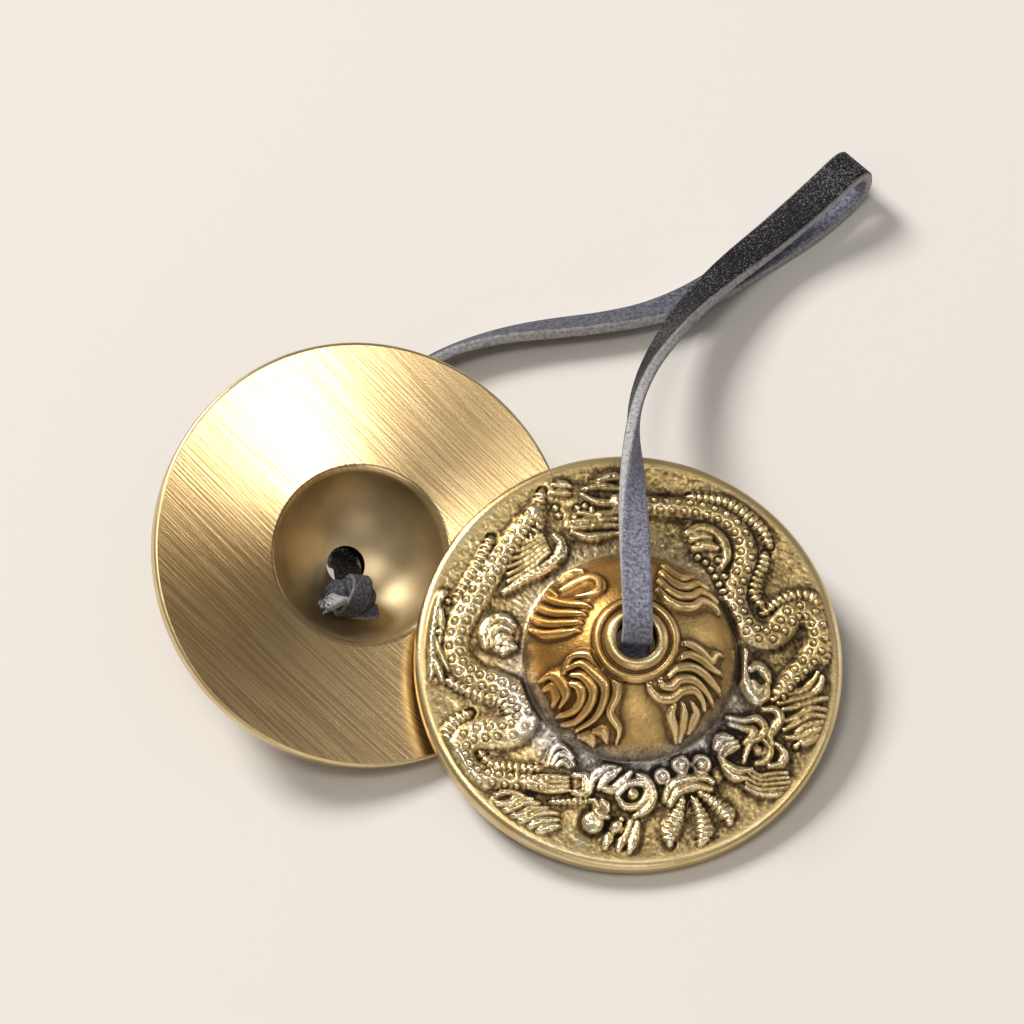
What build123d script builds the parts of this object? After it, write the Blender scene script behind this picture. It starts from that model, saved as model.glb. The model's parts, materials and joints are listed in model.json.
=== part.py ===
from build123d import *
import os
from math import ceil, cos, pi, radians, sin, sqrt, tan
import numpy as np

# A pair of tingsha: two cast cymbals knotted to the ends of one leather strap, as they lie when put down.
# The left cymbal lies on its crown and its rim, inside up. The right one stands on its rim, outside up, and
# leans on the rim of the left one. The strap is doubled behind them into the loop that the hand holds.
# Millimetres, +Z up, origin on the floor below the middle of the two cymbals.

# One cymbal, with heights measured from the plane of its rim towards its crown
CYMBAL_DIAMETER = 65.0
RIM_THICKNESS = 3.4
RIM_ROUNDING = 1.2          # of the outside; the turned inside keeps a crisper edge
INNER_EDGE_ROUNDING = 0.5
BORDER_WIDTH = 1.0          # plain band round the sunk field, inside the rounded edge
BORDER_SLOPE = 0.5          # run of the step from the band down to the field
FIELD_DEPTH = 0.5
FIELD_RISE = 1.3            # from the band's step up to the foot of the dome
DOME_DIAMETER = 32.4
DOME_RISE = 11.4
FOOT_ROUNDING = 1.0
CAVITY_DIAMETER = 26.6
CAVITY_EDGE_ROUNDING = 0.4
DISH_DEPTH = 1.9            # hollow of the inside between the rim and the cavity
CROWN_WALL = 2.7
HOLE_DIAMETER = 6.0
INNER_RING_WIDTH = 1.9      # two raised rings round the hole
OUTER_RING_WIDTH = 1.4
RING_SPACING = 0.4
RING_HEIGHT = 0.6

# How the two lie: places of the rims' centres, and the compass directions that they lean down to (degrees)
LEFT_AT = (-20.2, 7.6)
LEFT_LEAN_DIRECTION = -53.0
RIGHT_AT = (19.6, -6.8)
RIGHT_LEAN_DIRECTION = -71.0
SEAT_GAP = 0.3
STEEPEST_LEAN = 35.0

# The strap and its knots
STRAP_WIDTH = 5.9           # at the loop; towards the holes it is cut as narrow as they need
STRAP_THICKNESS = 1.8
HOLE_CLEARANCE = 0.6        # left between the strap's corners and the hole
KNOT_LENGTH = 8.8
KNOT_DIAMETER = 6.8
KNOT_END_DIAMETER = 2.6
KNOT_WRAP_DIAMETER = 2.2
KNOT_WRAP_TILT = 24.0
KNOT_WRAP_SPACING = 2.6
KNOT_OFFSET = 5.5           # from the hole's axis, towards the front
KNOT_CLEARANCE = 0.3
TAIL_LENGTH = 3.2
TAIL_TURN = 28.0
TAIL_LIFT = 40.0            # out of the cavity
HOLE_LEAD = 1.6             # straight strap past the hole on the inside
RIGHT_EXIT_RISE = 2.4       # straight strap past the rings on the outside
LEFT_EXIT_RISE = 0.7
RIGHT_HOLE_SUEDE = (0.0, -1.0, 0.2)  # direction that the suede side faces in each hole
LEFT_HOLE_SUEDE = (0.3, 1.0, 0.2)
BEND_SHARE = 0.45           # of the shorter run beside a bend that its rounding takes up
SECTION_STEP = 1.1          # between the sections that the strap is lofted through
SPLIT_GAP = 0.2             # between the stretches of the strap that move apart

# The free strap from the right cymbal round the loop to the left one: x, y, z, its share of the loop's width
# past that of the holes, and the direction that its suede side faces. It twists half a turn on its way down
# to the loop, so the grain side is up there. It bends at the end of the right leg when that cymbal is lifted.
RIGHT_LEG = [
    (20.7, -3.9, 27.0, 0.03, (0.0, -0.2, 1.0)),
    (20.4, 4.9, 27.2, 0.03, (0.3, 0.1, 0.9)),
    (20.3, 14.4, 24.9, 0.03, (0.7, 0.2, 0.7)),
    (20.5, 24.3, 20.9, 0.11, (1.0, 0.1, 0.2)),
    (21.0, 33.2, 16.3, 0.19, (1.0, -0.2, -0.2)),
    (22.8, 41.5, 12.2, 0.27, (0.8, -0.4, -0.4)),
    (25.6, 48.6, 9.0, 0.44, (0.6, -0.5, -0.6)),
    (29.0, 55.0, 7.0, 0.52, (0.4, -0.5, -0.8)),
    (32.7, 60.1, 5.9, 0.60, (0.2, -0.4, -0.9)),
    (37.1, 65.2, 5.0, 0.68, (0.1, -0.2, -1.0)),
]
LOOP_AND_LEFT_LEG = [
    (42.3, 70.1, 4.7, 0.76, (0.1, 0.0, -1.0)),
    (47.2, 74.3, 5.8, 0.84, (0.2, 0.2, -1.0)),
    (51.7, 78.0, 7.6, 0.92, (0.2, 0.2, -1.0)),
    (56.5, 82.7, 8.5, 1.00, (-0.7, -0.7, -0.7)),
    (56.8, 83.1, 1.1, 1.00, (-0.7, -0.7, 0.7)),
    (51.2, 76.8, 1.0, 0.92, (0.0, 0.0, 1.0)),
    (45.6, 72.2, 1.0, 0.84, (0.0, 0.0, 1.0)),
    (40.6, 68.7, 1.0, 0.76, (0.0, 0.0, 1.0)),
    (35.2, 64.4, 1.3, 0.68, (0.0, 0.1, 1.0)),
    (29.8, 60.7, 2.0, 0.68, (-0.1, 0.3, 0.9)),
    (23.4, 57.9, 2.4, 0.60, (-0.1, 0.5, 0.8)),
    (16.2, 56.3, 2.5, 0.52, (-0.1, 0.6, 0.8)),
    (9.0, 55.3, 2.6, 0.44, (-0.1, 0.6, 0.8)),
    (2.1, 54.2, 2.7, 0.35, (-0.2, 0.7, 0.7)),
    (-4.2, 52.4, 2.8, 0.27, (-0.3, 0.8, 0.6)),
    (-9.8, 49.9, 2.8, 0.27, (-0.4, 0.8, 0.5)),
    (-14.3, 46.2, 2.7, 0.19, (-0.6, 0.6, 0.6)),
    (-17.5, 41.0, 2.5, 0.11, (-0.6, 0.3, 0.8)),
    (-19.6, 35.2, 2.1, 0.03, (-0.3, 0.1, 0.9)),
    (-21.2, 29.4, 1.8, 0.03, (-0.1, 0.0, 1.0)),
    (-22.4, 23.8, 1.7, 0.00, (0.0, 0.0, 1.0)),
    (-23.3, 18.9, 1.7, 0.00, (0.0, 0.0, 1.0)),
]

# Worked-out sizes of a cymbal
rim_radius = CYMBAL_DIAMETER / 2
rim_flat = rim_radius - RIM_ROUNDING
inner_flat = rim_radius - INNER_EDGE_ROUNDING
field_edge = rim_flat - BORDER_WIDTH - BORDER_SLOPE
field_height = RIM_THICKNESS - FIELD_DEPTH
foot_radius = DOME_DIAMETER / 2
foot_height = field_height + FIELD_RISE
cavity_radius = CAVITY_DIAMETER / 2
cavity_rise = foot_height + DOME_RISE - CROWN_WALL - DISH_DEPTH
hole_radius = HOLE_DIAMETER / 2
inner_ring_end = hole_radius + INNER_RING_WIDTH
outer_ring_start = inner_ring_end + RING_SPACING
outer_ring_end = outer_ring_start + OUTER_RING_WIDTH


def cap_sphere(base_radius, base_height, rise):
    """Radius and centre height of the sphere whose cap rises over a circular base."""
    radius = (base_radius**2 + rise**2) / (2 * rise)
    return radius, base_height + rise - radius


dome_sphere, dome_centre = cap_sphere(foot_radius, foot_height, DOME_RISE)
cavity_sphere, cavity_centre = cap_sphere(cavity_radius, DISH_DEPTH, cavity_rise)


def on_dome(radius, above=0.0):
    """Point of the section on the outside of the dome."""
    return radius, dome_centre + sqrt(dome_sphere**2 - radius**2) + above


def in_cavity(radius):
    """Point of the section on the inside of the dome."""
    return radius, cavity_centre + sqrt(cavity_sphere**2 - radius**2)


mouth_height = on_dome(hole_radius, RING_HEIGHT)[1]


def ring_bead(start, end):
    """Rounded ring that stands on the dome between two radii."""
    return ThreePointArc(on_dome(start), on_dome((start + end) / 2, RING_HEIGHT), on_dome(end))


rim_bottom = ThreePointArc(
    (inner_flat, 0),
    (inner_flat + INNER_EDGE_ROUNDING * sin(pi / 4), INNER_EDGE_ROUNDING * (1 - cos(pi / 4))),
    (rim_radius, INNER_EDGE_ROUNDING),
)
rim_top = ThreePointArc(
    (rim_radius, RIM_THICKNESS - RIM_ROUNDING),
    (rim_flat + RIM_ROUNDING * sin(pi / 4), RIM_THICKNESS - RIM_ROUNDING * (1 - cos(pi / 4))),
    (rim_flat, RIM_THICKNESS),
)
inner_ring = ring_bead(hole_radius, inner_ring_end)
outer_ring = ring_bead(outer_ring_start, outer_ring_end)


def cymbal():
    """One cast cymbal about +Z: rounded rim, sunk field, dome with two rings round its hole, hollow inside."""
    outline = [
        Line((inner_flat, 0), (cavity_radius, DISH_DEPTH)),
        ThreePointArc(
            (cavity_radius, DISH_DEPTH),
            in_cavity((cavity_radius + hole_radius) / 2),
            in_cavity(hole_radius),
        ),
        Line(in_cavity(hole_radius), on_dome(hole_radius)),
        inner_ring,
        Line(on_dome(inner_ring_end), on_dome(outer_ring_start)),
        outer_ring,
        ThreePointArc(
            on_dome(outer_ring_end),
            on_dome((outer_ring_end + foot_radius) / 2),
            on_dome(foot_radius),
        ),
        Line(on_dome(foot_radius), (field_edge, field_height)),
        Line((field_edge, field_height), (field_edge + BORDER_SLOPE, RIM_THICKNESS)),
        Line((field_edge + BORDER_SLOPE, RIM_THICKNESS), (rim_flat, RIM_THICKNESS)),
        rim_top,
        Line((rim_radius, RIM_THICKNESS - RIM_ROUNDING), (rim_radius, INNER_EDGE_ROUNDING)),
        rim_bottom,
    ]
    section = make_face(outline)
    corners = section.vertices()
    section = fillet(corners.sort_by_distance((*on_dome(foot_radius), 0))[0], FOOT_ROUNDING)
    corners = section.vertices()
    section = fillet(corners.sort_by_distance((cavity_radius, DISH_DEPTH, 0))[0], CAVITY_EDGE_ROUNDING)
    return revolve(Plane.XZ * section, Axis.Z)


def outline_points(arcs, count=60):
    """Radius and height of points along some arcs of the section."""
    return [tuple(arc @ (step / count))[:2] for arc in arcs for step in range(count + 1)]


crown_points = outline_points([inner_ring, outer_ring])
rim_points = outline_points([rim_top, rim_bottom])


def reach_down(points, lean, crown_up):
    """How far the lowest of some points lies below the rim's centre when the cymbal leans."""
    side = -1 if crown_up else 1
    return max(side * height * cos(lean) + radius * sin(lean) for radius, height in points)


def crown_direction(compass, lean, crown_up):
    """Unit vector from rim to crown of a cymbal that leans down towards a compass direction."""
    upward = np.array([sin(lean) * cos(compass), sin(lean) * sin(compass), cos(lean)])
    return upward if crown_up else -upward


def bisect(is_below, low, high, steps=30):
    """Value between two bounds where a test turns from true to false."""
    for _ in range(steps):
        middle = (low + high) / 2
        low, high = (middle, high) if is_below(middle) else (low, middle)
    return high


def crown_touches_first(lean):
    """True while the crown, not the rim, is the lowest part of a cymbal that lies inside up."""
    return reach_down(crown_points, lean, False) > reach_down(rim_points, lean, False)


def left_pose():
    """Rim centre and crown direction of the left cymbal, which lies on its crown and its rim."""
    lean = bisect(crown_touches_first, 0.0, radians(STEEPEST_LEAN))
    centre = np.array([*LEFT_AT, reach_down(rim_points, lean, False)])
    return centre, crown_direction(radians(LEFT_LEAN_DIRECTION), lean, False)


def right_pose(lean):
    """Rim centre and crown direction of the right cymbal, which stands on its rim, for one lean."""
    centre = np.array([*RIGHT_AT, reach_down(rim_points, lean, True)])
    return centre, crown_direction(radians(RIGHT_LEAN_DIRECTION), lean, True)


def inside_height(radius):
    """Height of the inner face at some radii: cavity, dish and rounded rim."""
    cavity = cavity_centre + np.sqrt(np.clip(cavity_sphere**2 - radius**2, 0, None))
    dish = DISH_DEPTH * (inner_flat - radius) / (inner_flat - cavity_radius)
    fall = np.sqrt(np.clip(INNER_EDGE_ROUNDING**2 - (radius - inner_flat) ** 2, 0, None))
    edge = INNER_EDGE_ROUNDING - fall
    return np.where(radius < cavity_radius, cavity, np.where(radius < inner_flat, dish, edge))


def rim_gap(one, other, around=720):
    """Least gap from the rounded rim of one cymbal to the inner face of the other."""
    centre, crown = one
    across = np.cross(crown, [0.0, 0.0, 1.0])
    across /= np.linalg.norm(across)
    along = np.cross(crown, across)
    turn = np.linspace(0, 2 * pi, around, endpoint=False)[:, None, None]
    section = np.array(outline_points([rim_bottom], 12))
    spokes = np.cos(turn) * across + np.sin(turn) * along
    points = centre + section[:, :1] * spokes + section[:, 1:] * crown
    offset = points.reshape(-1, 3) - other[0]
    height = offset @ other[1]
    radius = np.linalg.norm(offset - height[:, None] * other[1], axis=1)
    over = radius < rim_radius
    return np.min(inside_height(radius[over]) - height[over], initial=rim_radius)


left_at = left_pose()


def cymbals_overlap(lean):
    """True while the right cymbal lies too flat to clear the left one."""
    right = right_pose(lean)
    return min(rim_gap(left_at, right), rim_gap(right, left_at)) < SEAT_GAP


right_at = right_pose(bisect(cymbals_overlap, 0.0, radians(STEEPEST_LEAN)))


def standing_plane(pose):
    """Frame of a cymbal: its rim's centre, its crown along Z and its Y towards the back."""
    crown = Vector(*pose[1])
    return Plane(Vector(*pose[0]), x_dir=Vector(0, 1, 0).cross(crown), z_dir=crown)


left_plane = standing_plane(left_at)
right_plane = standing_plane(right_at)
front = Vector(0, -1, 0)


def knot_place(plane):
    """Middle of a knot that lies on the inside of the dome, in front of the hole."""
    to_front = (front - plane.z_dir * front.dot(plane.z_dir)).normalized()
    reach = cavity_sphere - KNOT_DIAMETER / 2 - KNOT_CLEARANCE
    height = cavity_centre + sqrt(reach**2 - KNOT_OFFSET**2)
    return plane.origin + plane.z_dir * height + to_front * KNOT_OFFSET


# The strap from knot to knot
hole_width = 2 * sqrt((hole_radius - HOLE_CLEARANCE) ** 2 - (STRAP_THICKNESS / 2) ** 2)


def end_rows(plane, exit_rise, suede_side):
    """Route rows at one end of the strap, from the knot out through the hole."""
    inside = plane.origin + plane.z_dir * (in_cavity(hole_radius)[1] - HOLE_LEAD)
    outside = plane.origin + plane.z_dir * (mouth_height + exit_rise)
    return [(tuple(point), hole_width, suede_side) for point in (knot_place(plane), inside, outside)]


route = RIGHT_LEG + LOOP_AND_LEFT_LEG
route_rows = [(row[:3], hole_width + row[3] * (STRAP_WIDTH - hole_width), row[4]) for row in route]
right_end = end_rows(right_plane, RIGHT_EXIT_RISE, RIGHT_HOLE_SUEDE)
left_end = end_rows(left_plane, LEFT_EXIT_RISE, LEFT_HOLE_SUEDE)
rows = right_end + route_rows + left_end[::-1]
points = [Vector(*row[0]) for row in rows]
runs = [(b - a).length for a, b in zip(points, points[1:])]
turns = [(b - a).get_angle(c - b) for a, b, c in zip(points, points[1:], points[2:])]
bends = [BEND_SHARE * min(pair) / tan(radians(turn / 2)) for pair, turn in zip(zip(runs, runs[1:]), turns)]
strap_path = FilletPolyline(*points, radius=bends)
print("strap bend radii:", [round(bend, 1) for bend in bends])


def row_distances():
    """Distances along the strap at which it rounds each of its points."""
    lengths = [edge.length for edge in strap_path.order_edges()]
    ends = np.concatenate([[0.0], np.cumsum(lengths)])
    middles = [(ends[i] + ends[i + 1]) / 2 for i in range(1, len(lengths), 2)]
    return np.array([0.0, *middles, ends[-1]])


row_at = row_distances()
row_widths = np.array([row[1] for row in rows])
row_sides = np.array([row[2] for row in rows], dtype=float)
row_sides /= np.linalg.norm(row_sides, axis=1)[:, None]


def strap_section(distance):
    """Rectangle across the strap at one distance from the right knot, suede side along its Y."""
    share = distance / strap_path.length
    suede = Vector(*(np.interp(distance, row_at, row_sides[:, axis]) for axis in range(3)))
    along = strap_path % share
    plane = Plane(strap_path @ share, x_dir=suede.cross(along), z_dir=along)
    return plane * Rectangle(np.interp(distance, row_at, row_widths), STRAP_THICKNESS)


def strap_stretch(start, end):
    """Solid of the strap between two distances from the right knot."""
    count = ceil((end - start) / SECTION_STEP)
    return loft([strap_section(d) for d in np.linspace(start, end, count + 1)], ruled=True)


def knot(plane):
    """Overhand knot: a barrel with two crossing wraps and the strap's cut tail."""
    barrel_radius = KNOT_DIAMETER / 2 - KNOT_WRAP_DIAMETER / 4
    half = KNOT_LENGTH / 2
    end_radius = KNOT_END_DIAMETER / 2
    section = make_face(
        [
            Line((-half, 0), (-half, end_radius)),
            ThreePointArc((-half, end_radius), (0, barrel_radius), (half, end_radius)),
            Line((half, end_radius), (half, 0)),
            Line((half, 0), (-half, 0)),
        ]
    )
    lump = revolve(section, Axis.X)
    wrap = Torus((KNOT_DIAMETER - KNOT_WRAP_DIAMETER) / 2, KNOT_WRAP_DIAMETER / 2)
    for side in (-1, 1):
        lump += Pos(side * KNOT_WRAP_SPACING / 2, 0, 0) * Rot(0, 90 + side * KNOT_WRAP_TILT, 0) * wrap
    tail = Box(TAIL_LENGTH, hole_width, STRAP_THICKNESS, align=(Align.MIN, Align.CENTER, Align.CENTER))
    lump += Pos(-half + end_radius, 0, 0) * Rot(0, 0, 180 + TAIL_TURN) * Rot(0, TAIL_LIFT, 0) * tail
    return Plane(knot_place(plane), x_dir=plane.x_dir, z_dir=plane.z_dir) * lump


first_point = len(right_end)
last_point = first_point + len(route) - 1
twist_right = (row_at[first_point] + row_at[first_point + 1]) / 2
lift_bend = row_at[first_point + len(RIGHT_LEG) - 1]
twist_left = (row_at[last_point - 1] + row_at[last_point]) / 2
half_gap = SPLIT_GAP / 2

body = cymbal()
nodes = {
    "left_cymbal": left_plane.location * body,
    "right_cymbal": right_plane.location * body,
    "right_knot": strap_stretch(0, twist_right - half_gap) + knot(right_plane),
    "strap_right": strap_stretch(twist_right + half_gap, lift_bend - half_gap),
    "strap_left": strap_stretch(lift_bend + half_gap, twist_left - half_gap),
    "left_knot": strap_stretch(twist_left + half_gap, strap_path.length) + knot(left_plane),
}

os.makedirs("parts", exist_ok=True)
for name, shape in nodes.items():
    shape.label = name
    export_step(shape, f"parts/{name}.step")

print("left rim centre", left_at[0].round(3), "crown", left_at[1].round(5))
print("right rim centre", right_at[0].round(3), "crown", right_at[1].round(5))
for name, distance in (("right twist", twist_right), ("lift bend", lift_bend), ("left twist", twist_left)):
    share = distance / strap_path.length
    print(name, tuple(strap_path @ share), "along", tuple(strap_path % share))
print("strap length", round(strap_path.length, 1))
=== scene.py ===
import json
import math
import bpy
import numpy as np
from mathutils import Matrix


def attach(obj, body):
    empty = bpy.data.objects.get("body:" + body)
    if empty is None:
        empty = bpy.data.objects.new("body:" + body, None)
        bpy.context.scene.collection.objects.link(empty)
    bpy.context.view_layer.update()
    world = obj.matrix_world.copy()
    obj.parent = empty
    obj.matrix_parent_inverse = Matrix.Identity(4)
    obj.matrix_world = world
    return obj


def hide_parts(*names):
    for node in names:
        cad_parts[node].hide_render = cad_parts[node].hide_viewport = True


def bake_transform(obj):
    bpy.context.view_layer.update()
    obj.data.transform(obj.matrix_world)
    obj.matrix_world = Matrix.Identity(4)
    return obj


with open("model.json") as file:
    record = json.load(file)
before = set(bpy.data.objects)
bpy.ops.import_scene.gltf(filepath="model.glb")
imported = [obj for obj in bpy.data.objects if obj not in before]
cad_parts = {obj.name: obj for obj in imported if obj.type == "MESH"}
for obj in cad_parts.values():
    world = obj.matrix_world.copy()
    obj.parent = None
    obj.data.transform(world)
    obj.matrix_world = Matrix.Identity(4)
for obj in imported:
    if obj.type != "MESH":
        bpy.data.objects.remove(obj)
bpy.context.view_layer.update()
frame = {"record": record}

mm = 0.001
spins = {joint["name"]: joint for joint in frame["record"]["behaviour"]["joints"]}
print("frame loaded")


# Meshes

def newObject(name, data):
    # An object put into the scene as it is
    made = bpy.data.objects.new(name, data)
    bpy.context.scene.collection.objects.link(made)
    return made


def gridPiece(name, grid, material, caps=False, values=None):
    # Points in millimetres, rows x around x 3 and closed round, with a quad between each four neighbours
    rows, around = grid.shape[:2]
    index = np.arange(rows * around).reshape(rows, around)
    ahead = np.roll(index, -1, axis=1)
    quads = np.stack([index[:-1], ahead[:-1], ahead[1:], index[1:]], axis=-1).reshape(-1, 4)
    loops = quads.ravel()
    starts = np.arange(0, len(loops), 4)
    if caps:
        starts = np.concatenate([starts, len(loops) + np.array([0, around])])
        loops = np.concatenate([loops, index[0][::-1], index[-1]])
    mesh = bpy.data.meshes.new(name)
    mesh.vertices.add(rows * around)
    mesh.vertices.foreach_set("co", (grid * mm).astype(np.float32).ravel())
    mesh.loops.add(len(loops))
    mesh.loops.foreach_set("vertex_index", loops.astype(np.int32))
    mesh.polygons.add(len(starts))
    mesh.polygons.foreach_set("loop_start", starts.astype(np.int32))
    mesh.polygons.foreach_set("use_smooth", np.ones(len(starts), dtype=bool))
    mesh.update(calc_edges=True)
    for key, value in (values or {}).items():
        mesh.attributes.new(key, "FLOAT", "POINT").data.foreach_set("value", value.astype(np.float32).ravel())
    mesh.materials.append(material)
    return newObject(name, mesh)


# Materials

class Shading:
    # The nodes of one material
    def __init__(self, name):
        self.material = bpy.data.materials.new(name)
        self.material.use_nodes = True
        self.nodes = self.material.node_tree.nodes
        self.links = self.material.node_tree.links
        self.place = self.nodes.new("ShaderNodeTexCoord").outputs["Object"]

    def fill(self, socket, value):
        # A link from another socket, or a fixed value
        if isinstance(value, bpy.types.NodeSocket):
            self.links.new(value, socket)
        elif socket.type == "RGBA":
            socket.default_value = (*value, 1.0)
        else:
            socket.default_value = value

    def add(self, kind, **settings):
        # A node, with its inputs and settings by name
        node = self.nodes.new(kind)
        for key, value in settings.items():
            if key in node.inputs:
                self.fill(node.inputs[key], value)
            else:
                setattr(node, key, value)
        return node

    def attribute(self, name):
        # A value stored on the points of a mesh
        return self.add("ShaderNodeAttribute", attribute_name=name).outputs["Fac"]

    def noise(self, scale, detail, roughness=0.5, place=None):
        # Noise with so many waves per metre
        settings = {"Scale": scale, "Detail": detail, "Roughness": roughness, "Vector": place or self.place}
        return self.add("ShaderNodeTexNoise", **settings).outputs["Fac"]

    def ramp(self, source, stops):
        # Colours by a value, in a line from stop to stop
        node = self.add("ShaderNodeValToRGB", Fac=source)
        elements = node.color_ramp.elements
        while len(elements) < len(stops):
            elements.new(0.5)
        for element, (place, colour) in zip(elements, stops):
            element.position = place
            element.color = (*colour, 1.0)
        return node.outputs[0]

    def mix(self, share, first, second, blend="MIX"):
        # First colour passed into the second, or into their blend, by a share
        node = self.add("ShaderNodeMix", data_type="RGBA", blend_type=blend)
        for number, value in ((0, share), (6, first), (7, second)):
            self.fill(node.inputs[number], value)
        return node.outputs[2]

    def sum(self, first, second, factor=None):
        # First + second, or first * factor + second
        node = self.add("ShaderNodeMath", operation="ADD" if factor is None else "MULTIPLY_ADD")
        values = (first, second) if factor is None else (first, factor, second)
        for socket, value in zip(node.inputs, values):
            self.fill(socket, value)
        return node.outputs[0]

    def bump(self, height, look):
        # Normals tilted by the slope of a value
        settings = {"Height": height, "Strength": look["bump"], "Distance": look["bumpDepth"]}
        return self.add("ShaderNodeBump", **settings).outputs[0]

    def finished(self, **settings):
        # The material, with the shader's inputs set by their names without spaces
        sockets = {socket.name.replace(" ", ""): socket for socket in self.nodes["Principled BSDF"].inputs}
        for key, value in settings.items():
            self.fill(sockets[key], value)
        return self.material


def grey(value):
    # The same number for all three colours
    return (value,) * 3


castLook = {
    "recess": (0.030, 0.022, 0.016),
    "ground": (0.17, 0.115, 0.055),
    "gold": (0.60, 0.44, 0.19),
    "bright": (0.98, 0.88, 0.62),
    # copper tone of the painted warm reflection on the dome
    "copper": (1.0, 0.76, 0.48),
    "ash": (0.42, 0.40, 0.39),
    "levels": (0.0, 0.30, 0.56, 0.86),      # of the four metal colours
    "roughness": [(0.0, 0.60), (0.4, 0.42), (0.85, 0.22)],
    "grainScale": 2600.0,
    "mottleScale": 160.0,
    "mottle": 0.26,
    "bump": 0.25,
    "bumpDepth": 0.0002,
}


def castMaterial():
    # Cast face: dark in the hollows, gold on the slopes, rubbed bright on the heights; its level also carries
    # painted light
    look = castLook
    shading = Shading("castBrass")
    mottle = shading.noise(look["mottleScale"], 5.0, 0.65)
    grain = shading.noise(look["grainScale"], 3.0)
    blotch = shading.sum(mottle, -look["mottle"] / 2, look["mottle"])
    level = shading.sum(shading.attribute("wornAndPaintedLight"), blotch)
    level.node.use_clamp = True
    colours = [look[name] for name in ("recess", "ground", "gold", "bright")]
    metal = shading.ramp(level, list(zip(look["levels"], colours)))
    # painted warm reflection multiplied in
    tinted = shading.mix(shading.attribute("paintedWarmReflection"), metal, look["copper"], "MULTIPLY")
    dulled = shading.mix(shading.attribute("ash"), tinted, look["ash"], "COLOR")
    rough = shading.ramp(level, [(stop, grey(value)) for stop, value in look["roughness"]])
    normal = shading.bump(grain, look)
    return shading.finished(BaseColor=dulled, Roughness=rough, Metallic=1.0, Normal=normal)


brushedLook = {
    "gold": (0.69, 0.50, 0.25),
    "pale": (0.79, 0.60, 0.33),
    "brown": (0.56, 0.39, 0.19),
    "cavity": (0.66, 0.53, 0.32),
    "cavityDark": (0.44, 0.34, 0.20),
    # colour multiplied into the dish where shade is painted
    "paintedDishShade": (0.40, 0.37, 0.33),
    "turn": math.radians(38),
    "scratchScale": (40.0, 3300.0, 120.0),
    "cloudScale": 90.0,
    "dishRoughness": 0.22,
    "cavityRoughness": 0.45,
    "bump": 0.15,
    "bumpDepth": 0.00012,
}


def brushedMaterial():
    # Turned and brushed inside: fine scratches one way, duller in the rough cast bowl
    look = brushedLook
    shading = Shading("brushedBrass")
    bowl = shading.attribute("bowl")
    turned = shading.add("ShaderNodeMapping", Vector=shading.place, Rotation=(0, 0, look["turn"]))
    stretched = shading.add("ShaderNodeMapping", Vector=turned.outputs[0], Scale=look["scratchScale"])
    scratch = shading.noise(1.0, 2.0, place=stretched.outputs[0])
    cloud = shading.noise(look["cloudScale"], 2.0)
    streaks = shading.ramp(scratch, [(0.38, look["brown"]), (0.5, look["gold"]), (0.62, look["pale"])])
    patches = shading.ramp(cloud, [(0.4, grey(0.0)), (0.7, grey(0.6))])
    clouded = shading.mix(patches, streaks, look["gold"])
    # painted shade: darker sectors of the dish
    dulled = shading.mix(shading.attribute("paintedDishShade"), clouded, look["paintedDishShade"], "MULTIPLY")
    skin = shading.ramp(cloud, [(0.38, look["cavityDark"]), (0.62, look["cavity"])])
    colour = shading.mix(bowl, dulled, skin)
    rough = shading.mix(bowl, grey(look["dishRoughness"]), grey(look["cavityRoughness"]))
    normal = shading.bump(scratch, look)
    return shading.finished(BaseColor=colour, Roughness=rough, Metallic=1.0, Normal=normal)


strapLook = {
    "grain": (0.006, 0.005, 0.006),
    "fleck": (0.20, 0.19, 0.21),
    "suede": (0.10, 0.10, 0.15),
    "suedePale": (0.38, 0.38, 0.45),
    # tone multiplied into the suede where shade is painted
    "soil": (0.45, 0.45, 0.44),
    "edge": (0.52, 0.51, 0.51),
    "edgeDark": (0.24, 0.23, 0.25),
    "poreScale": 3400.0,
    "fuzzScale": 1900.0,
    "rubScale": 95.0,
    "rub": 0.2,             # how much the flecks gather in rubbed patches
    "shine": 0.12,
    "grainRoughness": 0.5,
    "napRoughness": 0.95,
    "bump": 0.5,
    "bumpDepth": 0.00025,
}


def strapMaterial():
    # Leather strip: flecked black grain, blue-grey suede and pale fuzzy cut edges, told apart by attributes
    look = strapLook
    shading = Shading("strapLeather")
    suede = shading.attribute("suede")
    edge = shading.attribute("cutEdge")
    pores = shading.noise(look["poreScale"], 2.0)
    fuzz = shading.noise(look["fuzzScale"], 4.0, 0.7)
    rubbed = shading.noise(look["rubScale"], 1.0)
    scuffed = shading.sum(rubbed, pores, look["rub"])
    flecks = shading.ramp(scuffed, [(0.62, look["grain"]), (0.86, look["fleck"])])
    nap = shading.ramp(fuzz, [(0.36, look["suede"]), (0.62, look["suedePale"])])
    cut = shading.ramp(fuzz, [(0.34, look["edgeDark"]), (0.60, look["edge"])])
    # painted shade on the suede of the stretch past the loop
    shadedNap = shading.mix(shading.attribute("soiled"), nap, look["soil"], "MULTIPLY")
    colour = shading.mix(edge, shading.mix(suede, flecks, shadedNap), cut)
    gloss = shading.mix(suede, grey(look["grainRoughness"]), grey(look["napRoughness"]))
    rough = shading.mix(edge, gloss, grey(look["napRoughness"]))
    normal = shading.bump(fuzz, look)
    return shading.finished(BaseColor=colour, Roughness=rough, SpecularIORLevel=look["shine"], Normal=normal)


castBrass = castMaterial()
brushedBrass = brushedMaterial()
strapLeather = strapMaterial()
print("materials made")


# Cymbals: heights from the plane of the rim towards the crown, in millimetres

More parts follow.
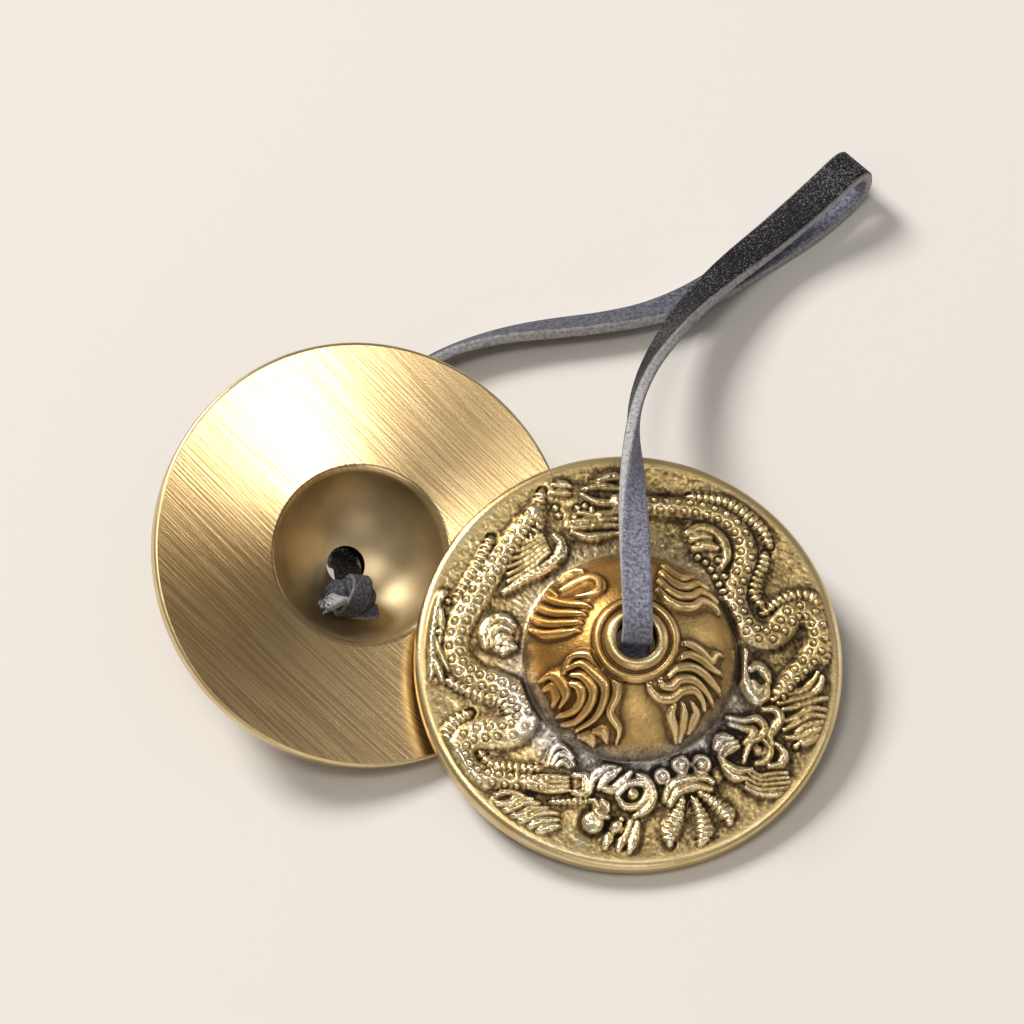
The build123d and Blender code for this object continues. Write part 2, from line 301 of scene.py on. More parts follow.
cymbal = {
    "rimRadius": 32.5,
    "rimThickness": 3.4,
    "rimRounding": 1.2,
    "innerRounding": 0.5,
    "borderWidth": 1.0,
    "borderSlope": 0.5,
    "fieldDepth": 0.5,
    "fieldRise": 1.3,
    "footRadius": 16.2,
    "footRounding": 0.8,
    "domeRise": 11.4,
    "cavityRadius": 13.3,
    "dishDepth": 1.9,
    "crownWall": 2.7,
    "holeRadius": 3.0,
    "innerRingWidth": 1.9,
    "outerRingWidth": 1.4,
    "ringSpacing": 0.4,
    "ringHeight": 0.6,
    "rimEase": 4.0,         # over which the field rises to the rim
    "cavityEdge": 0.25,     # taken off the cavity's sharp edge, and off the dish beside it
    "dishEdge": 0.35,
    "seamOffset": 0.3,      # from the foot to where the flange and the dome meet
    "seamOverlap": 0.17,
    # sectors of painted shade on the inside: middle angle, width and amount
    "paintedDishShade": [(-22.0, 56.0, 1.0), (124.0, 18.0, 0.45)],
    "around": 960,
}
rimFlat = cymbal["rimRadius"] - cymbal["rimRounding"]
innerFlat = cymbal["rimRadius"] - cymbal["innerRounding"]
fieldEdge = rimFlat - cymbal["borderWidth"] - cymbal["borderSlope"]
fieldHeight = cymbal["rimThickness"] - cymbal["fieldDepth"]
footHeight = fieldHeight + cymbal["fieldRise"]
dividingRadius = cymbal["footRadius"] + cymbal["seamOffset"]
cavityRise = footHeight + cymbal["domeRise"] - cymbal["crownWall"] - cymbal["dishDepth"]
roundAngle = np.linspace(0, 2 * np.pi, cymbal["around"], endpoint=False)


def unit(vectors):
    # Vectors brought to length 1
    return vectors / np.linalg.norm(vectors, axis=-1, keepdims=True)


def capSphere(baseRadius, baseHeight, rise):
    # Radius and centre height of the sphere whose cap rises over a circular base
    radius = (baseRadius**2 + rise**2) / (2 * rise)
    return radius, baseHeight + rise - radius


domeSphere, domeCentre = capSphere(cymbal["footRadius"], footHeight, cymbal["domeRise"])
cavitySphere, cavityCentre = capSphere(cymbal["cavityRadius"], cymbal["dishDepth"], cavityRise)


def onDome(radius):
    # Height of the dome: centre + sqrt(R^2 - r^2)
    return domeCentre + np.sqrt(domeSphere**2 - np.asarray(radius, dtype=float) ** 2)


def inCavity(radius):
    # Height of the cavity's roof, in the same way
    return cavityCentre + np.sqrt(cavitySphere**2 - np.asarray(radius, dtype=float) ** 2)


def cymbalFrame(joint):
    # Rim centre and the three directions of a cymbal, from the joint that it spins on
    crown = unit(np.array(joint["axis"], dtype=float))
    side = unit(np.cross([0.0, 1.0, 0.0], crown))
    return np.array(joint["pos_m"]) / mm, np.stack([side, np.cross(crown, side), crown])


leftFrame = cymbalFrame(spins["left_spin"])
rightFrame = cymbalFrame(spins["right_spin"])


def eased(value, low, high):
    # Smooth step from 0 to 1
    share = np.clip((value - low) / (high - low), 0, 1)
    return share * share * (3 - 2 * share)


def arc(centre, radius, start, end, count):
    # Points of a circular arc in the section, angles in degrees
    turn = np.radians(np.linspace(start, end, count))
    return np.stack([centre[0] + radius * np.cos(turn), centre[1] + radius * np.sin(turn)], axis=1)


def outerHeight(radius):
    # Field that eases up to the rim, and dome, joined by a smooth maximum:
    # (a + b + sqrt((a - b)^2 + c^2)) / 2
    slope = (footHeight - fieldHeight) / (fieldEdge - cymbal["footRadius"])
    field = fieldHeight + slope * (fieldEdge - radius)
    field = field + (cymbal["rimThickness"] - field) * eased(radius, fieldEdge - cymbal["rimEase"], rimFlat)
    inside = np.sqrt(np.clip(domeSphere**2 - radius**2, 0, None))
    dome = domeCentre + inside - 3 * np.clip(radius - domeSphere, 0, None)
    return 0.5 * (field + dome + np.sqrt((field - dome) ** 2 + cymbal["footRounding"] ** 2))


def pastSeam(way):
    # A row that goes on past the foot, just under the other piece, so that both are shaded alike there
    radius = np.array([dividingRadius + cymbal["seamOverlap"] * way])
    return np.stack([radius, outerHeight(radius) - 0.01], axis=1)


def flangeSection():
    # From the inner face's edge round the rim, softly down to the field and in to the foot of the dome
    rounding = cymbal["rimRounding"]
    crisp = cymbal["innerRounding"]
    bottom = arc((innerFlat, crisp), crisp, -90, 0, 5)
    top = arc((rimFlat, cymbal["rimThickness"] - rounding), rounding, 0, 90, 7)
    inward = np.linspace(rimFlat, dividingRadius, 85)[1:]
    return np.concatenate([bottom, top, np.stack([inward, outerHeight(inward)], axis=1), pastSeam(-1)])


def domeSection():
    # Up the dome from its foot, over the two rings and down the hole
    innerEnd = cymbal["holeRadius"] + cymbal["innerRingWidth"]
    outerStart = innerEnd + cymbal["ringSpacing"]
    outerEnd = outerStart + cymbal["outerRingWidth"]
    turn = np.linspace(math.asin(dividingRadius / domeSphere), math.asin(outerEnd / domeSphere), 70)
    rise = np.stack([domeSphere * np.sin(turn), outerHeight(domeSphere * np.sin(turn))], axis=1)

    def bead(start, end, count):
        # Half-round ring: height over the dome is a sine across its width
        share = np.linspace(0, 1, count)
        radius = start + (end - start) * share
        over = cymbal["ringHeight"] * np.sin(np.pi * share) ** 0.7
        return np.stack([radius, onDome(radius) + over], axis=1)

    outer = bead(outerEnd, outerStart, 11)[1:]
    inner = bead(innerEnd, cymbal["holeRadius"], 13)
    wall = np.linspace(onDome(cymbal["holeRadius"]), inCavity(cymbal["holeRadius"]), 6)[1:]
    hole = np.stack([np.full(5, cymbal["holeRadius"]), wall], axis=1)
    return np.concatenate([pastSeam(1), rise, outer, inner, hole])


def insideSection():
    # From the hole down the cavity, round its edge and out over the dish to the rim
    edge = cymbal["cavityRadius"] - cymbal["cavityEdge"]
    turn = np.linspace(math.asin(cymbal["holeRadius"] / cavitySphere), math.asin(edge / cavitySphere), 34)
    cavity = np.stack([cavitySphere * np.sin(turn), cavityCentre + cavitySphere * np.cos(turn)], axis=1)
    outward = np.linspace(cymbal["cavityRadius"] + cymbal["dishEdge"], innerFlat, 40)
    depth = cymbal["dishDepth"] * (innerFlat - outward) / (innerFlat - cymbal["cavityRadius"])
    return np.concatenate([cavity, np.stack([outward, depth], axis=1)])


def sectionNormals(section):
    # Unit normals of a section, on its left-hand side
    along = np.gradient(section, axis=0)
    return unit(np.stack([-along[:, 1], along[:, 0]], axis=1))


def turnedGrid(section, relief=None):
    # The section turned about the crown axis: x = r cos a, y = r sin a, with the relief along the normal
    radius = np.repeat(section[:, :1], cymbal["around"], axis=1)
    height = np.repeat(section[:, 1:], cymbal["around"], axis=1)
    if relief is not None:
        normal = sectionNormals(section)
        radius = radius - relief * normal[:, :1]
        height = height - relief * normal[:, 1:]
    return np.stack([radius * np.cos(roundAngle), radius * np.sin(roundAngle), height], axis=-1)


def setDown(grid, cymbalPlace):
    # From a cymbal's own frame to the row frame
    centre, directions = cymbalPlace
    return grid @ directions + centre


# Relief on the outside: places in millimetres in the cymbal's own plan, x to the right and y to the back

def smoothLine(points, step=0.12):
    # Catmull-Rom curve through given points, sampled about evenly
    knots = np.array(points, dtype=float)
    knots = np.concatenate([2 * knots[:1] - knots[1:2], knots, 2 * knots[-1:] - knots[-2:-1]])
    before, start, end, after = knots[:-3], knots[1:-2], knots[2:-1], knots[3:]
    count = max(4, int(np.linalg.norm(end - start, axis=1).max() / step))
    share = np.linspace(0, 1, count, endpoint=False)[None, :, None]
    before, start, end, after = (part[:, None, :] for part in (before, start, end, after))
    line = 0.5 * (2 * start + (end - before) * share + (2 * before - 5 * start + 4 * end - after) * share**2
                  + (3 * start - before - 3 * end + after) * share**3)
    return np.concatenate([line.reshape(-1, knots.shape[1]), knots[-2:-1]])


def lineLength(line):
    # Length along a line up to each of its points
    return np.concatenate([[0.0], np.cumsum(np.linalg.norm(np.diff(line, axis=0), axis=1))])


def spreadOver(values, count):
    # A few values drawn out evenly over a number of points
    return np.interp(np.linspace(0, 1, count), np.linspace(0, 1, len(values)), values)


def castNoise(plan, size, seed):
    # Smooth random bumps about 0 over the plan: a random lattice of one size, eased between its points
    lattice = np.random.default_rng(seed).normal(size=(256, 256))
    place = plan / size
    cell = np.floor(place).astype(int)
    share = place - cell
    share = share * share * (3 - 2 * share)
    x, y = cell[:, 0] % 256, cell[:, 1] % 256
    xNext, yNext = (x + 1) % 256, (y + 1) % 256
    low = lattice[x, y] * (1 - share[:, 0]) + lattice[xNext, y] * share[:, 0]
    high = lattice[x, yNext] * (1 - share[:, 0]) + lattice[xNext, yNext] * share[:, 0]
    return low * (1 - share[:, 1]) + high * share[:, 1]


class ReliefField:
    # Height of the relief over one surface's grid, and the plan places of its points
    def __init__(self, section):
        around = np.stack([np.cos(roundAngle), np.sin(roundAngle)], axis=-1)
        self.section = section
        self.radius = section[:, :1]
        self.plan = (section[:, :1, None] * around[None]).reshape(-1, 2)
        self.shape = (len(section), cymbal["around"])
        self.x, self.y = (self.plan[:, axis].reshape(self.shape) for axis in range(2))
        reach = section[-1, 0] + lineLength(section[::-1])[::-1]
        stretch = np.repeat(reach / section[:, 0], cymbal["around"])
        self.spread = self.plan * stretch[:, None]      # plan rolled out flat
        self.height = np.zeros(self.shape[0] * self.shape[1])
        self.under = np.zeros_like(self.height)

    def near(self, line, reach):
        # Points of the grid within reach of a line: their numbers, distance and the nearest place on the line
        low = line.min(axis=0) - reach
        high = line.max(axis=0) + reach
        chosen = np.flatnonzero(np.all((self.plan > low) & (self.plan < high), axis=1))
        if len(chosen) == 0:
            return chosen, np.zeros(0), np.zeros(0, dtype=int)
        nearest = np.zeros(len(chosen), dtype=int)
        distance = np.full(len(chosen), np.inf)
        for first in range(0, len(line), 64):
            part = line[first:first + 64]
            gap = np.linalg.norm(self.plan[chosen][:, None, :] - part[None], axis=2)
            best = gap.argmin(axis=1)
            value = gap[np.arange(len(chosen)), best]
            better = value < distance
            distance[better] = value[better]
            nearest[better] = best[better] + first
        inside = distance < reach
        return chosen[inside], distance[inside], nearest[inside]

    def stroke(self, points, half, flatness):
        # Points of the grid under a stroke, and 1 - (distance / half width)^flatness there
        line = smoothLine(points)
        widths = spreadOver(half, len(line))
        chosen, distance, nearest = self.near(line, max(half))
        return chosen, np.clip(1 - (distance / widths[nearest]) ** flatness, 0, 1)

    def ridge(self, points, half, height):
        # Rounded ridge: height * (1 - (distance / half width)^2)^0.8, its half width eased along the line
        chosen, share = self.stroke(points, half, 2)
        self.height[chosen] = np.maximum(self.height[chosen], height * share**0.8)

    def mass(self, points, half, height):
        # Low flat-topped mass under the strokes: height * (1 - (distance / half width)^4)
        chosen, share = self.stroke(points, half, 4)
        self.under[chosen] = np.maximum(self.under[chosen], height * share)

    def fill(self, reach, height):
        # Strokes that lie close together share one low mass
        crowded = self.softened(reach, (self.height > 0.05).reshape(self.shape).astype(float)).ravel()
        self.under = np.maximum(self.under, height * eased(crowded, 0.22, 0.55))

    def settle(self, grain, seed):
        # Strokes set on their masses, over ground that is rough from the casting
        rough = castNoise(self.spread, 0.38, seed) + 0.5 * castNoise(self.spread, 0.8, seed + 1)
        self.height = self.height + self.under + grain * rough

    def beads(self, places, radius, height):
        # Pellets, each with a shallow ring cut round it
        places = np.array(places, dtype=float)
        reach = 1.7 * radius
        chosen, distance, _ = self.near(places, reach)
        share = np.clip(1 - (distance / radius) ** 2, 0, 1)
        ring = np.exp(-(((distance - 1.15 * radius) / (0.28 * radius)) ** 2))
        self.height[chosen] += height * np.sqrt(share) - min(0.75 * height, 0.24) * ring

    def rungs(self, points, half, spacing, cut, depth):
        # Short cuts across a line, as on a fin or a belly
        line = smoothLine(points)
        length = lineLength(line)
        chosen, distance, nearest = self.near(line, half)
        wave = np.cos(2 * np.pi * length[nearest] / spacing)
        self.height[chosen] -= depth * np.clip((wave - cut) / (1 - cut), 0, 1) * (distance < half)

    def comb(self, first, last, count, half, height):
        # Strands spread evenly between two lines
        one = np.array(first, dtype=float)
        other = np.array(last, dtype=float)
        for share in np.linspace(0, 1, count):
            self.ridge(one + (other - one) * share, half, height)

    def softened(self, sigma, field=None):
        # Gaussian blur over the surface: along the angle by its frequencies, along the section by weights
        field = self.height.reshape(self.shape) if field is None else field
        frequency = np.arange(self.shape[1] // 2 + 1)[None]
        fall = np.exp(-0.5 * (frequency * sigma / self.radius) ** 2)
        turned = np.fft.irfft(np.fft.rfft(field, axis=1) * fall, n=self.shape[1], axis=1)
        place = lineLength(self.section)
        weights = np.exp(-0.5 * ((place[:, None] - place[None]) / sigma) ** 2)
        return (weights / weights.sum(axis=1, keepdims=True)) @ turned


def alongBody(points, offsets, spacing, start):
    # Rows of places beside a line, at offsets to its left
    line = smoothLine(points)
    length = lineLength(line)
    stops = np.arange(start, length[-1], spacing)
    places = np.stack([np.interp(stops, length, line[:, axis]) for axis in range(2)], axis=1)
    way = np.stack([np.interp(stops, length, np.gradient(line[:, axis])) for axis in range(2)], axis=1)
    way = unit(way)
    left = np.stack([-way[:, 1], way[:, 0]], axis=1)
    return np.concatenate([places + offset * left + shift * spacing * way for offset, shift in offsets])


rightDragon = {
    "body": [
        (-2, 24.6), (2.5, 24.3), (7, 24.2), (11, 23.8), (14.5, 22.5), (16.8, 20.2), (17.5, 17.4),
        (17.1, 14.8), (16.2, 12.4), (15.8, 10), (16.3, 7.9), (17.5, 5.7), (19.4, 4.4), (21.6, 4.5),
        (23.2, 6), (24.6, 7.8), (26.4, 8.4), (28, 7.4), (28.8, 5.4), (28.6, 3), (27.5, 1), (25.9, -0.8),
        (24.4, -2.4), (22.8, -4.6),
    ],
    "bodyHalf": [1.4, 1.5, 1.6, 1.6, 1.9, 2, 1.9, 1.5, 1.2],
    "fins": [
        [(20.2, 8), (22.4, 9.7), (25, 10.9), (27.6, 10.8), (29.4, 9.2), (30.3, 6.8), (30.4, 3.6),
         (29.6, 0.8)],
        [(9, 26), (13.5, 25.6), (16.2, 24.4), (18.4, 22.7), (20.3, 20.8), (21.2, 18.8)],
        [(20.6, 17.4), (20.2, 15.4), (19.2, 13.4), (18.9, 11), (20, 9)],
    ],
    "leg": [
        [(8.4, 20), (10.4, 21), (12.6, 20.6), (14.2, 18.8), (14.6, 16.6), (13.8, 14.8)],
        [(9.2, 19), (10.6, 19.7), (12, 19.4)], [(9.6, 17.6), (11.4, 18.2), (13, 17.8)],
        [(17.3, 1.6), (17, -1.4), (17.7, -4), (19, -5.8), (20.6, -5.2), (20.8, -3.6)],
        [(18.2, -1.2), (19.4, -0.6), (20.6, -1.8), (21, -3)], [(18.6, -3.2), (19.4, -4.4), (20.2, -3.9)],
    ],
    "beads": [
        (10.2, 16.3), (11.4, 15.6), (12.2, 14.5), (12.9, 13.3), (13.5, 12.1), (14, 11), (13.3, 15.9),
        (14.3, 13.4), (25.3, -12.7),
    ],
    "mane": [
        [(21.6, -5.7), (24, -4.6), (26.5, -3.8), (28, -2.3), (28.6, -1)],
        [(22.5, -6.2), (25, -5.4), (27.5, -4.6), (28.9, -3.2), (29.3, -1.6)],
        [(23.3, -7.1), (26, -6.3), (28.2, -5.5), (29.9, -5)],
        [(23.6, -8.9), (25.8, -7.9), (27.5, -6.7), (29.9, -6.8)],
        [(23.4, -10.2), (25.8, -8.9), (27.6, -7.8), (29.7, -7.9)],
        [(25.3, -10.5), (27.4, -9.3), (29.4, -8.8)],
        [(23.8, -11.4), (26.2, -11.1), (28, -10.2), (29.2, -9.8)],
        [(25.8, -12.2), (27.2, -11.8), (28.7, -11)],
    ],
    "face": [
        [(14.8, -8.8), (17.2, -9.2), (19.2, -8.8), (20.4, -10.1), (19.8, -11.5), (18.4, -12.5),
         (17.7, -14), (17.3, -15.4)],
        [(15.1, -9.9), (17.4, -10.4), (18.7, -10.6), (18.4, -11.6), (17.3, -12.6)],
        [(20.2, -7.3), (21.9, -7.2), (22.8, -8.5), (22, -10), (21.2, -11.3), (21.6, -12.6)],
        [(20.4, -12.2), (21.2, -13.5), (20.7, -15), (19.2, -15.6)],
        [(22.2, -12.5), (23.4, -13.9), (23, -15.5), (21.2, -16)],
        [(12.9, -13.6), (13.8, -12), (15.4, -11.9)], [(13.6, -14.2), (14.6, -12.9), (16.1, -12.5)],
        [(14.4, -14.6), (15.4, -13.5), (16.4, -13.2)],
        [(13.6, -14.8), (14.6, -16), (16.4, -16.9), (18.4, -16.6)],
        [(14.2, -16.4), (15.6, -17.7), (17.6, -18)],
    ],
    "eye": (19.6, -13.7),
    "masses": [
        ([(14.5, -13.5), (17.5, -12.5), (20.5, -11.5), (22, -13.5), (19.5, -16.5), (16, -16.8)],
         [2, 2.2, 2.2, 2.2], 0.45),
        ([(22.5, -8), (25.5, -6.5), (28.3, -5)], [2, 3, 3.2], 0.35),
        ([(25, -10.5), (28.5, -9.5)], [1.6, 1.6], 0.35),
        ([(17.4, 1), (17.6, -2), (18.9, -4)], [1.2, 1.6, 2.2], 0.5),
        ([(9.5, 19.3), (12, 19), (13.6, 16.5)], [1.5, 2.2, 1.6], 0.45),
        ([(18.5, -18), (21.5, -18.6), (24.5, -18.3)], [1.5, 1.7, 1.2], 0.35),
    ],
    "scaleRows": [(-0.8, 0), (0.8, 0.5)],
    "beard": [
        [(18.2, -16.6), (20, -17.4), (22.2, -17), (24, -16.9)],
        [(17.6, -19.4), (19.6, -20.2), (21.8, -20.4), (24.4, -19.9)],
    ],
}
leftDragon = {
    "body": [
        (-14.6, 22.6), (-16.4, 20.2), (-18.6, 16.8), (-21, 13), (-23.4, 9), (-25.5, 5), (-26.4, 1.6),
        (-25.7, -1.5), (-23.4, -3.7), (-20.4, -4.8), (-17.9, -6), (-16.2, -8), (-16.1, -10.2),
        (-17.7, -11.9), (-20.6, -12.2), (-23.5, -12.8), (-25.1, -14.4), (-24.9, -16.8), (-23, -18.6),
        (-19.9, -19.3), (-16.5, -19.6), (-13, -19.8),
    ],
    "bodyHalf": [1.2, 1.7, 1.9, 1.8, 2, 2.2, 2.2, 2.1, 1.6, 1.3],
    "fins": [
        [(-27.3, -4.3), (-24.6, -5.7), (-22, -6.7), (-19.9, -7.2), (-18.5, -8.4), (-18.1, -10)],
        [(-24, -9.2), (-26.4, -11), (-27.5, -13.4), (-27, -16.2), (-25.2, -18.8)],
        [(-22.4, -15.2), (-20.4, -17.1), (-17, -17.6), (-13.4, -17.6)],
        [(-13.6, 26), (-14, 23.6), (-14.2, 21), (-15.2, 18.8), (-17, 16.6)],
        [(-21.2, 18.4), (-22.6, 14.8), (-24.6, 11), (-26.4, 8.2)],
    ],
    "leg": [
        [(-21.9, 1.2), (-22.2, 3.2), (-21, 5.2), (-19, 5.6), (-17.6, 4.4)],
        [(-21, 1.4), (-20.8, 3.2), (-19.4, 4.2), (-18, 3.4)], [(-20.2, 0.8), (-19.6, 2.4), (-18.2, 2.4)],
        [(-19.2, 0.2), (-18.4, 1.2), (-17.4, 1)],
        [(-11.6, 18.9), (-10.6, 17.6), (-10.9, 15.8), (-12.8, 13.9), (-15.6, 12.2), (-19.2, 9.6)],
        [(-28.2, 9.5), (-29.5, 7.6), (-29.9, 4), (-30, 1), (-29.9, -2), (-30.4, -4)],
    ],
    "beads": [(-8.2, 23.6), (-7, 23.9), (-6, 23.4), (-11.5, 23.6), (-11, 22.4), (-27.6, 8.2), (-28.9, 3.2)],
    "mane": [
        [(-19.8, -21.9), (-18.4, -21.2), (-16.8, -21.4), (-15.6, -21.8)],
        [(-19.6, -23.2), (-17.7, -22.9), (-16.6, -22.2), (-14.4, -22.2)],
        [(-18.6, -24.2), (-16.9, -23.7), (-15.5, -22.8), (-13.4, -22.8)],
        [(-17.5, -25.1), (-15.8, -24.6), (-14.4, -23.7), (-12.2, -23.5)],
        [(-16.4, -25.9), (-14.7, -25.1), (-13, -24.3), (-10.6, -24.3)],
        [(-14.8, -26.6), (-13, -25.6), (-10.5, -25.3)], [(-13.6, -27.3), (-12, -26.5), (-10.4, -26.3)],
        [(-28.7, 6.8), (-28.5, 4.2), (-28.8, 1.6)], [(-29.5, 2.2), (-28.4, -0.5), (-27.4, -2.6)],
        [(-29.8, -0.4), (-28.9, -2.4), (-28.4, -4.2)], [(-12, 25.8), (-10.6, 26), (-9.4, 25.8)],
        [(-11.8, 27.1), (-10.4, 27.3), (-9.2, 27)],
        [(-7.6, 25.7), (-5.6, 24.7), (-3.3, 24.5), (-1.6, 24.8)], [(-7, 26.7), (-4.5, 27.2), (-1.6, 27)],
        [(-5, 28.1), (-3, 28.8), (-1.2, 28.9)], [(-9, 20.2), (-6, 20.6), (-1.6, 20.9)],
        [(-8.8, 21.2), (-5.5, 21.6), (-1.6, 22)], [(-9, 19.5), (-6.4, 18.9), (-1.8, 19.6)],
        [(-8, 22.7), (-5, 22.5), (-1.6, 23.1)],
    ],
    "face": [
        [(-5.8, -21), (-5.4, -19), (-3.5, -17.3), (-1.6, -16.3)],
        [(-4.5, -20.4), (-3.4, -18.9), (-1.4, -17.3)],
        [(-4.4, -20.2), (-2.4, -20.5), (-0.7, -19), (0.2, -17.8)],
        [(-1.7, -21.4), (-0.1, -19.7), (2.2, -19.3), (3, -20.8), (1.7, -22.7), (-0.4, -23), (-1.6, -21.8)],
        [(1.4, -18.2), (2.9, -19), (3.6, -21.4), (2.6, -23.4), (1, -24.4)],
        [(-5.1, -22.2), (-4.4, -23.8), (-3, -24.8)], [(-3.9, -22.2), (-3.1, -23.6)],
        [(-8.3, -18.5), (-6.5, -18.6), (-6.3, -20), (-6.6, -21.3), (-8.4, -21.1)],
        [(-1, -25), (-2.6, -27.4), (-3.4, -29.3)], [(0.4, -25.2), (-0.6, -27.6), (-1.4, -29.6)],
        [(1.4, -25.4), (0.9, -28), (0.3, -29.8)],
    ],
    "eye": (0.7, -21.1),
    "masses": [
        ([(-5.5, -20), (-2.5, -20), (1, -21)], [2.2, 2.8, 2.6], 0.45),
        ([(-5, -25.2), (-1.8, -26)], [2, 2], 0.35), ([(0.3, -25), (-0.9, -29.4)], [1.8, 1.8], 0.35),
        ([(-15, -19.7), (-9, -19.8)], [1.6, 1.6], 0.5), ([(-7.7, -18.8), (-7.5, -21.2)], [1.1, 1.1], 0.85),
        ([(-19.5, -22.3), (-16, -23.5), (-12, -24.8)], [1.2, 2.2, 2.2], 0.3),
        ([(-20.4, 3), (-18.8, 3)], [2.6, 2.6], 0.5),
        ([(-18.3, 13.8), (-15.5, 15.4), (-12.6, 17.2)], [2.6, 2.8, 1.8], 0.3),
        ([(-28.6, 8.6), (-29.2, 4), (-28.8, -0.5), (-29, -3.5)], [1.4, 1.4], 0.35),
        ([(-11.8, 26.2), (-8, 25.5), (-2, 26)], [2, 2], 0.3),
        ([(-9, 20.8), (-5, 21), (-1.5, 21.2)], [1.3, 2, 2.2], 0.3),
    ],
    "scaleRows": [(-0.9, 0), (0.8, 0.5)],
    "cheeks": [(-5.2, -25.5, 1.8), (-1.8, -26.2, 1.2)],
    "neck": [[(-15.2, -18.9), (-12, -18.7), (-9.2, -18.8)], [(-15, -20.6), (-12, -21), (-9, -20.8)]],
    "whiskers": [[(-11.6, -22.6), (-8.2, -22.4), (-5.4, -22.2)]],
    "claw": [[(-18.6, 11.4), (-15.6, 13.2), (-12.4, 16.2)], [(-18.4, 17.2), (-16.2, 17.6), (-13.6, 19)]],
}
jewel = {
    "mass": ([(4.8, -18.6), (7.8, -16.6), (11, -16.4), (12.8, -17.6)], [1.8, 1.8], 0.4),
    "pearls": [(7.8, -16.3, 1.6), (10.9, -16.1, 1.7), (5, -18.2, 1.4)],
    "bands": [
        [(5.5, -21.8), (6.2, -19.7), (8.3, -18.4), (11.3, -18.1), (12.6, -18.8)],
        [(6.2, -22.4), (7.5, -20.4), (10, -19.5), (12.4, -19.9)],
    ],
    "petals": [
        [(8.2, -21.4), (7.4, -24), (6.3, -26.8), (6.3, -28.4)],
        [(9.7, -21.2), (11, -23.8), (11.6, -26.2), (11, -28.3)],
        [(10.6, -20.4), (13.1, -22), (14.9, -23.6), (15.3, -24.8)],
    ],
    "fan": [
        [(-12.2, -17), (-11.3, -14.7), (-10, -14.1), (-8.5, -15.8)],
        [(-11.5, -17), (-10.6, -15.4), (-9.4, -15.6), (-8.3, -16.9)],
        [(-10.8, -17.2), (-10, -16.5), (-9, -17.2)],
    ],
}
cloudBands = [
    [(-10.3, -4.6), (-9.4, -2.5), (-7.2, -2.4), (-5.2, -3.9), (-3.2, -5.6), (-2.7, -8), (-3.5, -10.4),
     (-2, -12.5), (-2.2, -14.2)],
    [(-9.7, -4.1), (-8, -3.6), (-6.2, -5), (-4.6, -6.7), (-4.4, -8.7), (-5.6, -11), (-8, -12.2)],
    [(-9.2, -5), (-7.6, -5.5), (-6.2, -7.2), (-6.3, -9), (-8, -11), (-10.2, -11.3)],
    [(-9.3, -6.2), (-8.1, -6.9), (-7.7, -8.4), (-8.7, -9.8), (-11, -10.2)],
    [(-13.6, -5.1), (-12, -4.6), (-10.7, -5.8), (-9.9, -7.6), (-10.5, -9)],
    [(-13, -6.4), (-11.8, -6.2), (-11.2, -7.6), (-11.6, -8.8)],
    [(-5.6, -12.5), (-4.3, -12.7), (-3.6, -13.9)], [(-7.6, -12.9), (-6.2, -13.2), (-5.4, -14.2)],
    [(5.8, -0.8), (7.6, -0.2), (9.6, -0.9), (11.2, -2), (12.1, -0.8), (13.6, -0.6)],
    [(6.2, -2.7), (7.8, -1.8), (9.5, -2.1), (11.4, -3), (13.4, -3.5)],
    [(4.9, -5.3), (6, -4.1), (8.2, -3.5), (10.3, -4.1), (12.4, -5.5), (13.2, -6.2)],
    [(3.5, -5.4), (3.9, -6.6), (5.4, -6.6), (6.6, -5.5), (8.6, -5.3), (10.6, -6.4), (12.1, -8)],
    [(1.9, -5.7), (2.1, -7.2), (3.5, -8.3), (5.5, -8.2), (7, -7), (8.8, -6.6), (10.1, -7.6), (10.6, -8.8)],
    [(5.9, -9), (5.5, -10.3), (6.2, -11.8), (6.5, -13.4)],
    [(7.2, -8.8), (7.5, -10), (7.4, -11.6), (7.1, -13.2)],
    [(8.6, -8.4), (9.4, -9.5), (8.8, -11), (8.3, -12)],
    [(-10.6, 8.6), (-8.6, 9.9), (-6.8, 10.5), (-5.4, 9.6), (-5.3, 8.2), (-6.6, 7.2), (-8.6, 6.9)],
    [(-11.4, 8), (-12.2, 9.9), (-11.3, 11.7), (-9.4, 12.3), (-7.6, 12.2)],
    [(-12.9, 9.9), (-12.3, 7.8), (-10.5, 6.3), (-8.2, 5.6), (-6.8, 5.2)],
    [(-14.1, 9), (-13.5, 6.5), (-11.7, 4.9), (-9.2, 4.3), (-7.6, 3.9)],
    [(-14.9, 6.8), (-14.3, 4.8), (-12.5, 3.3), (-9.8, 2.8), (-8.1, 2.7)],
    [(-15.1, 3.2), (-13, 1.7), (-10.7, 1.4), (-8.4, 1.4)],
    [(3.2, 8.1), (4.7, 6.5), (6.6, 5.7), (8.6, 6.1), (10, 7.4), (11.6, 7.2), (12.8, 6.2)],
    [(3.5, 9.9), (4.9, 8.3), (6.7, 7.5), (8.5, 7.9), (9.8, 9.1), (11.4, 8.9), (12.5, 8)],
    [(3.9, 11.6), (5.2, 10.1), (6.8, 9.3), (8.3, 9.7), (9.6, 10.8), (11.2, 10.3)],
    [(4.4, 13.2), (5.6, 11.8), (6.9, 11.1), (8.2, 11.5), (9.3, 12.3)],
]
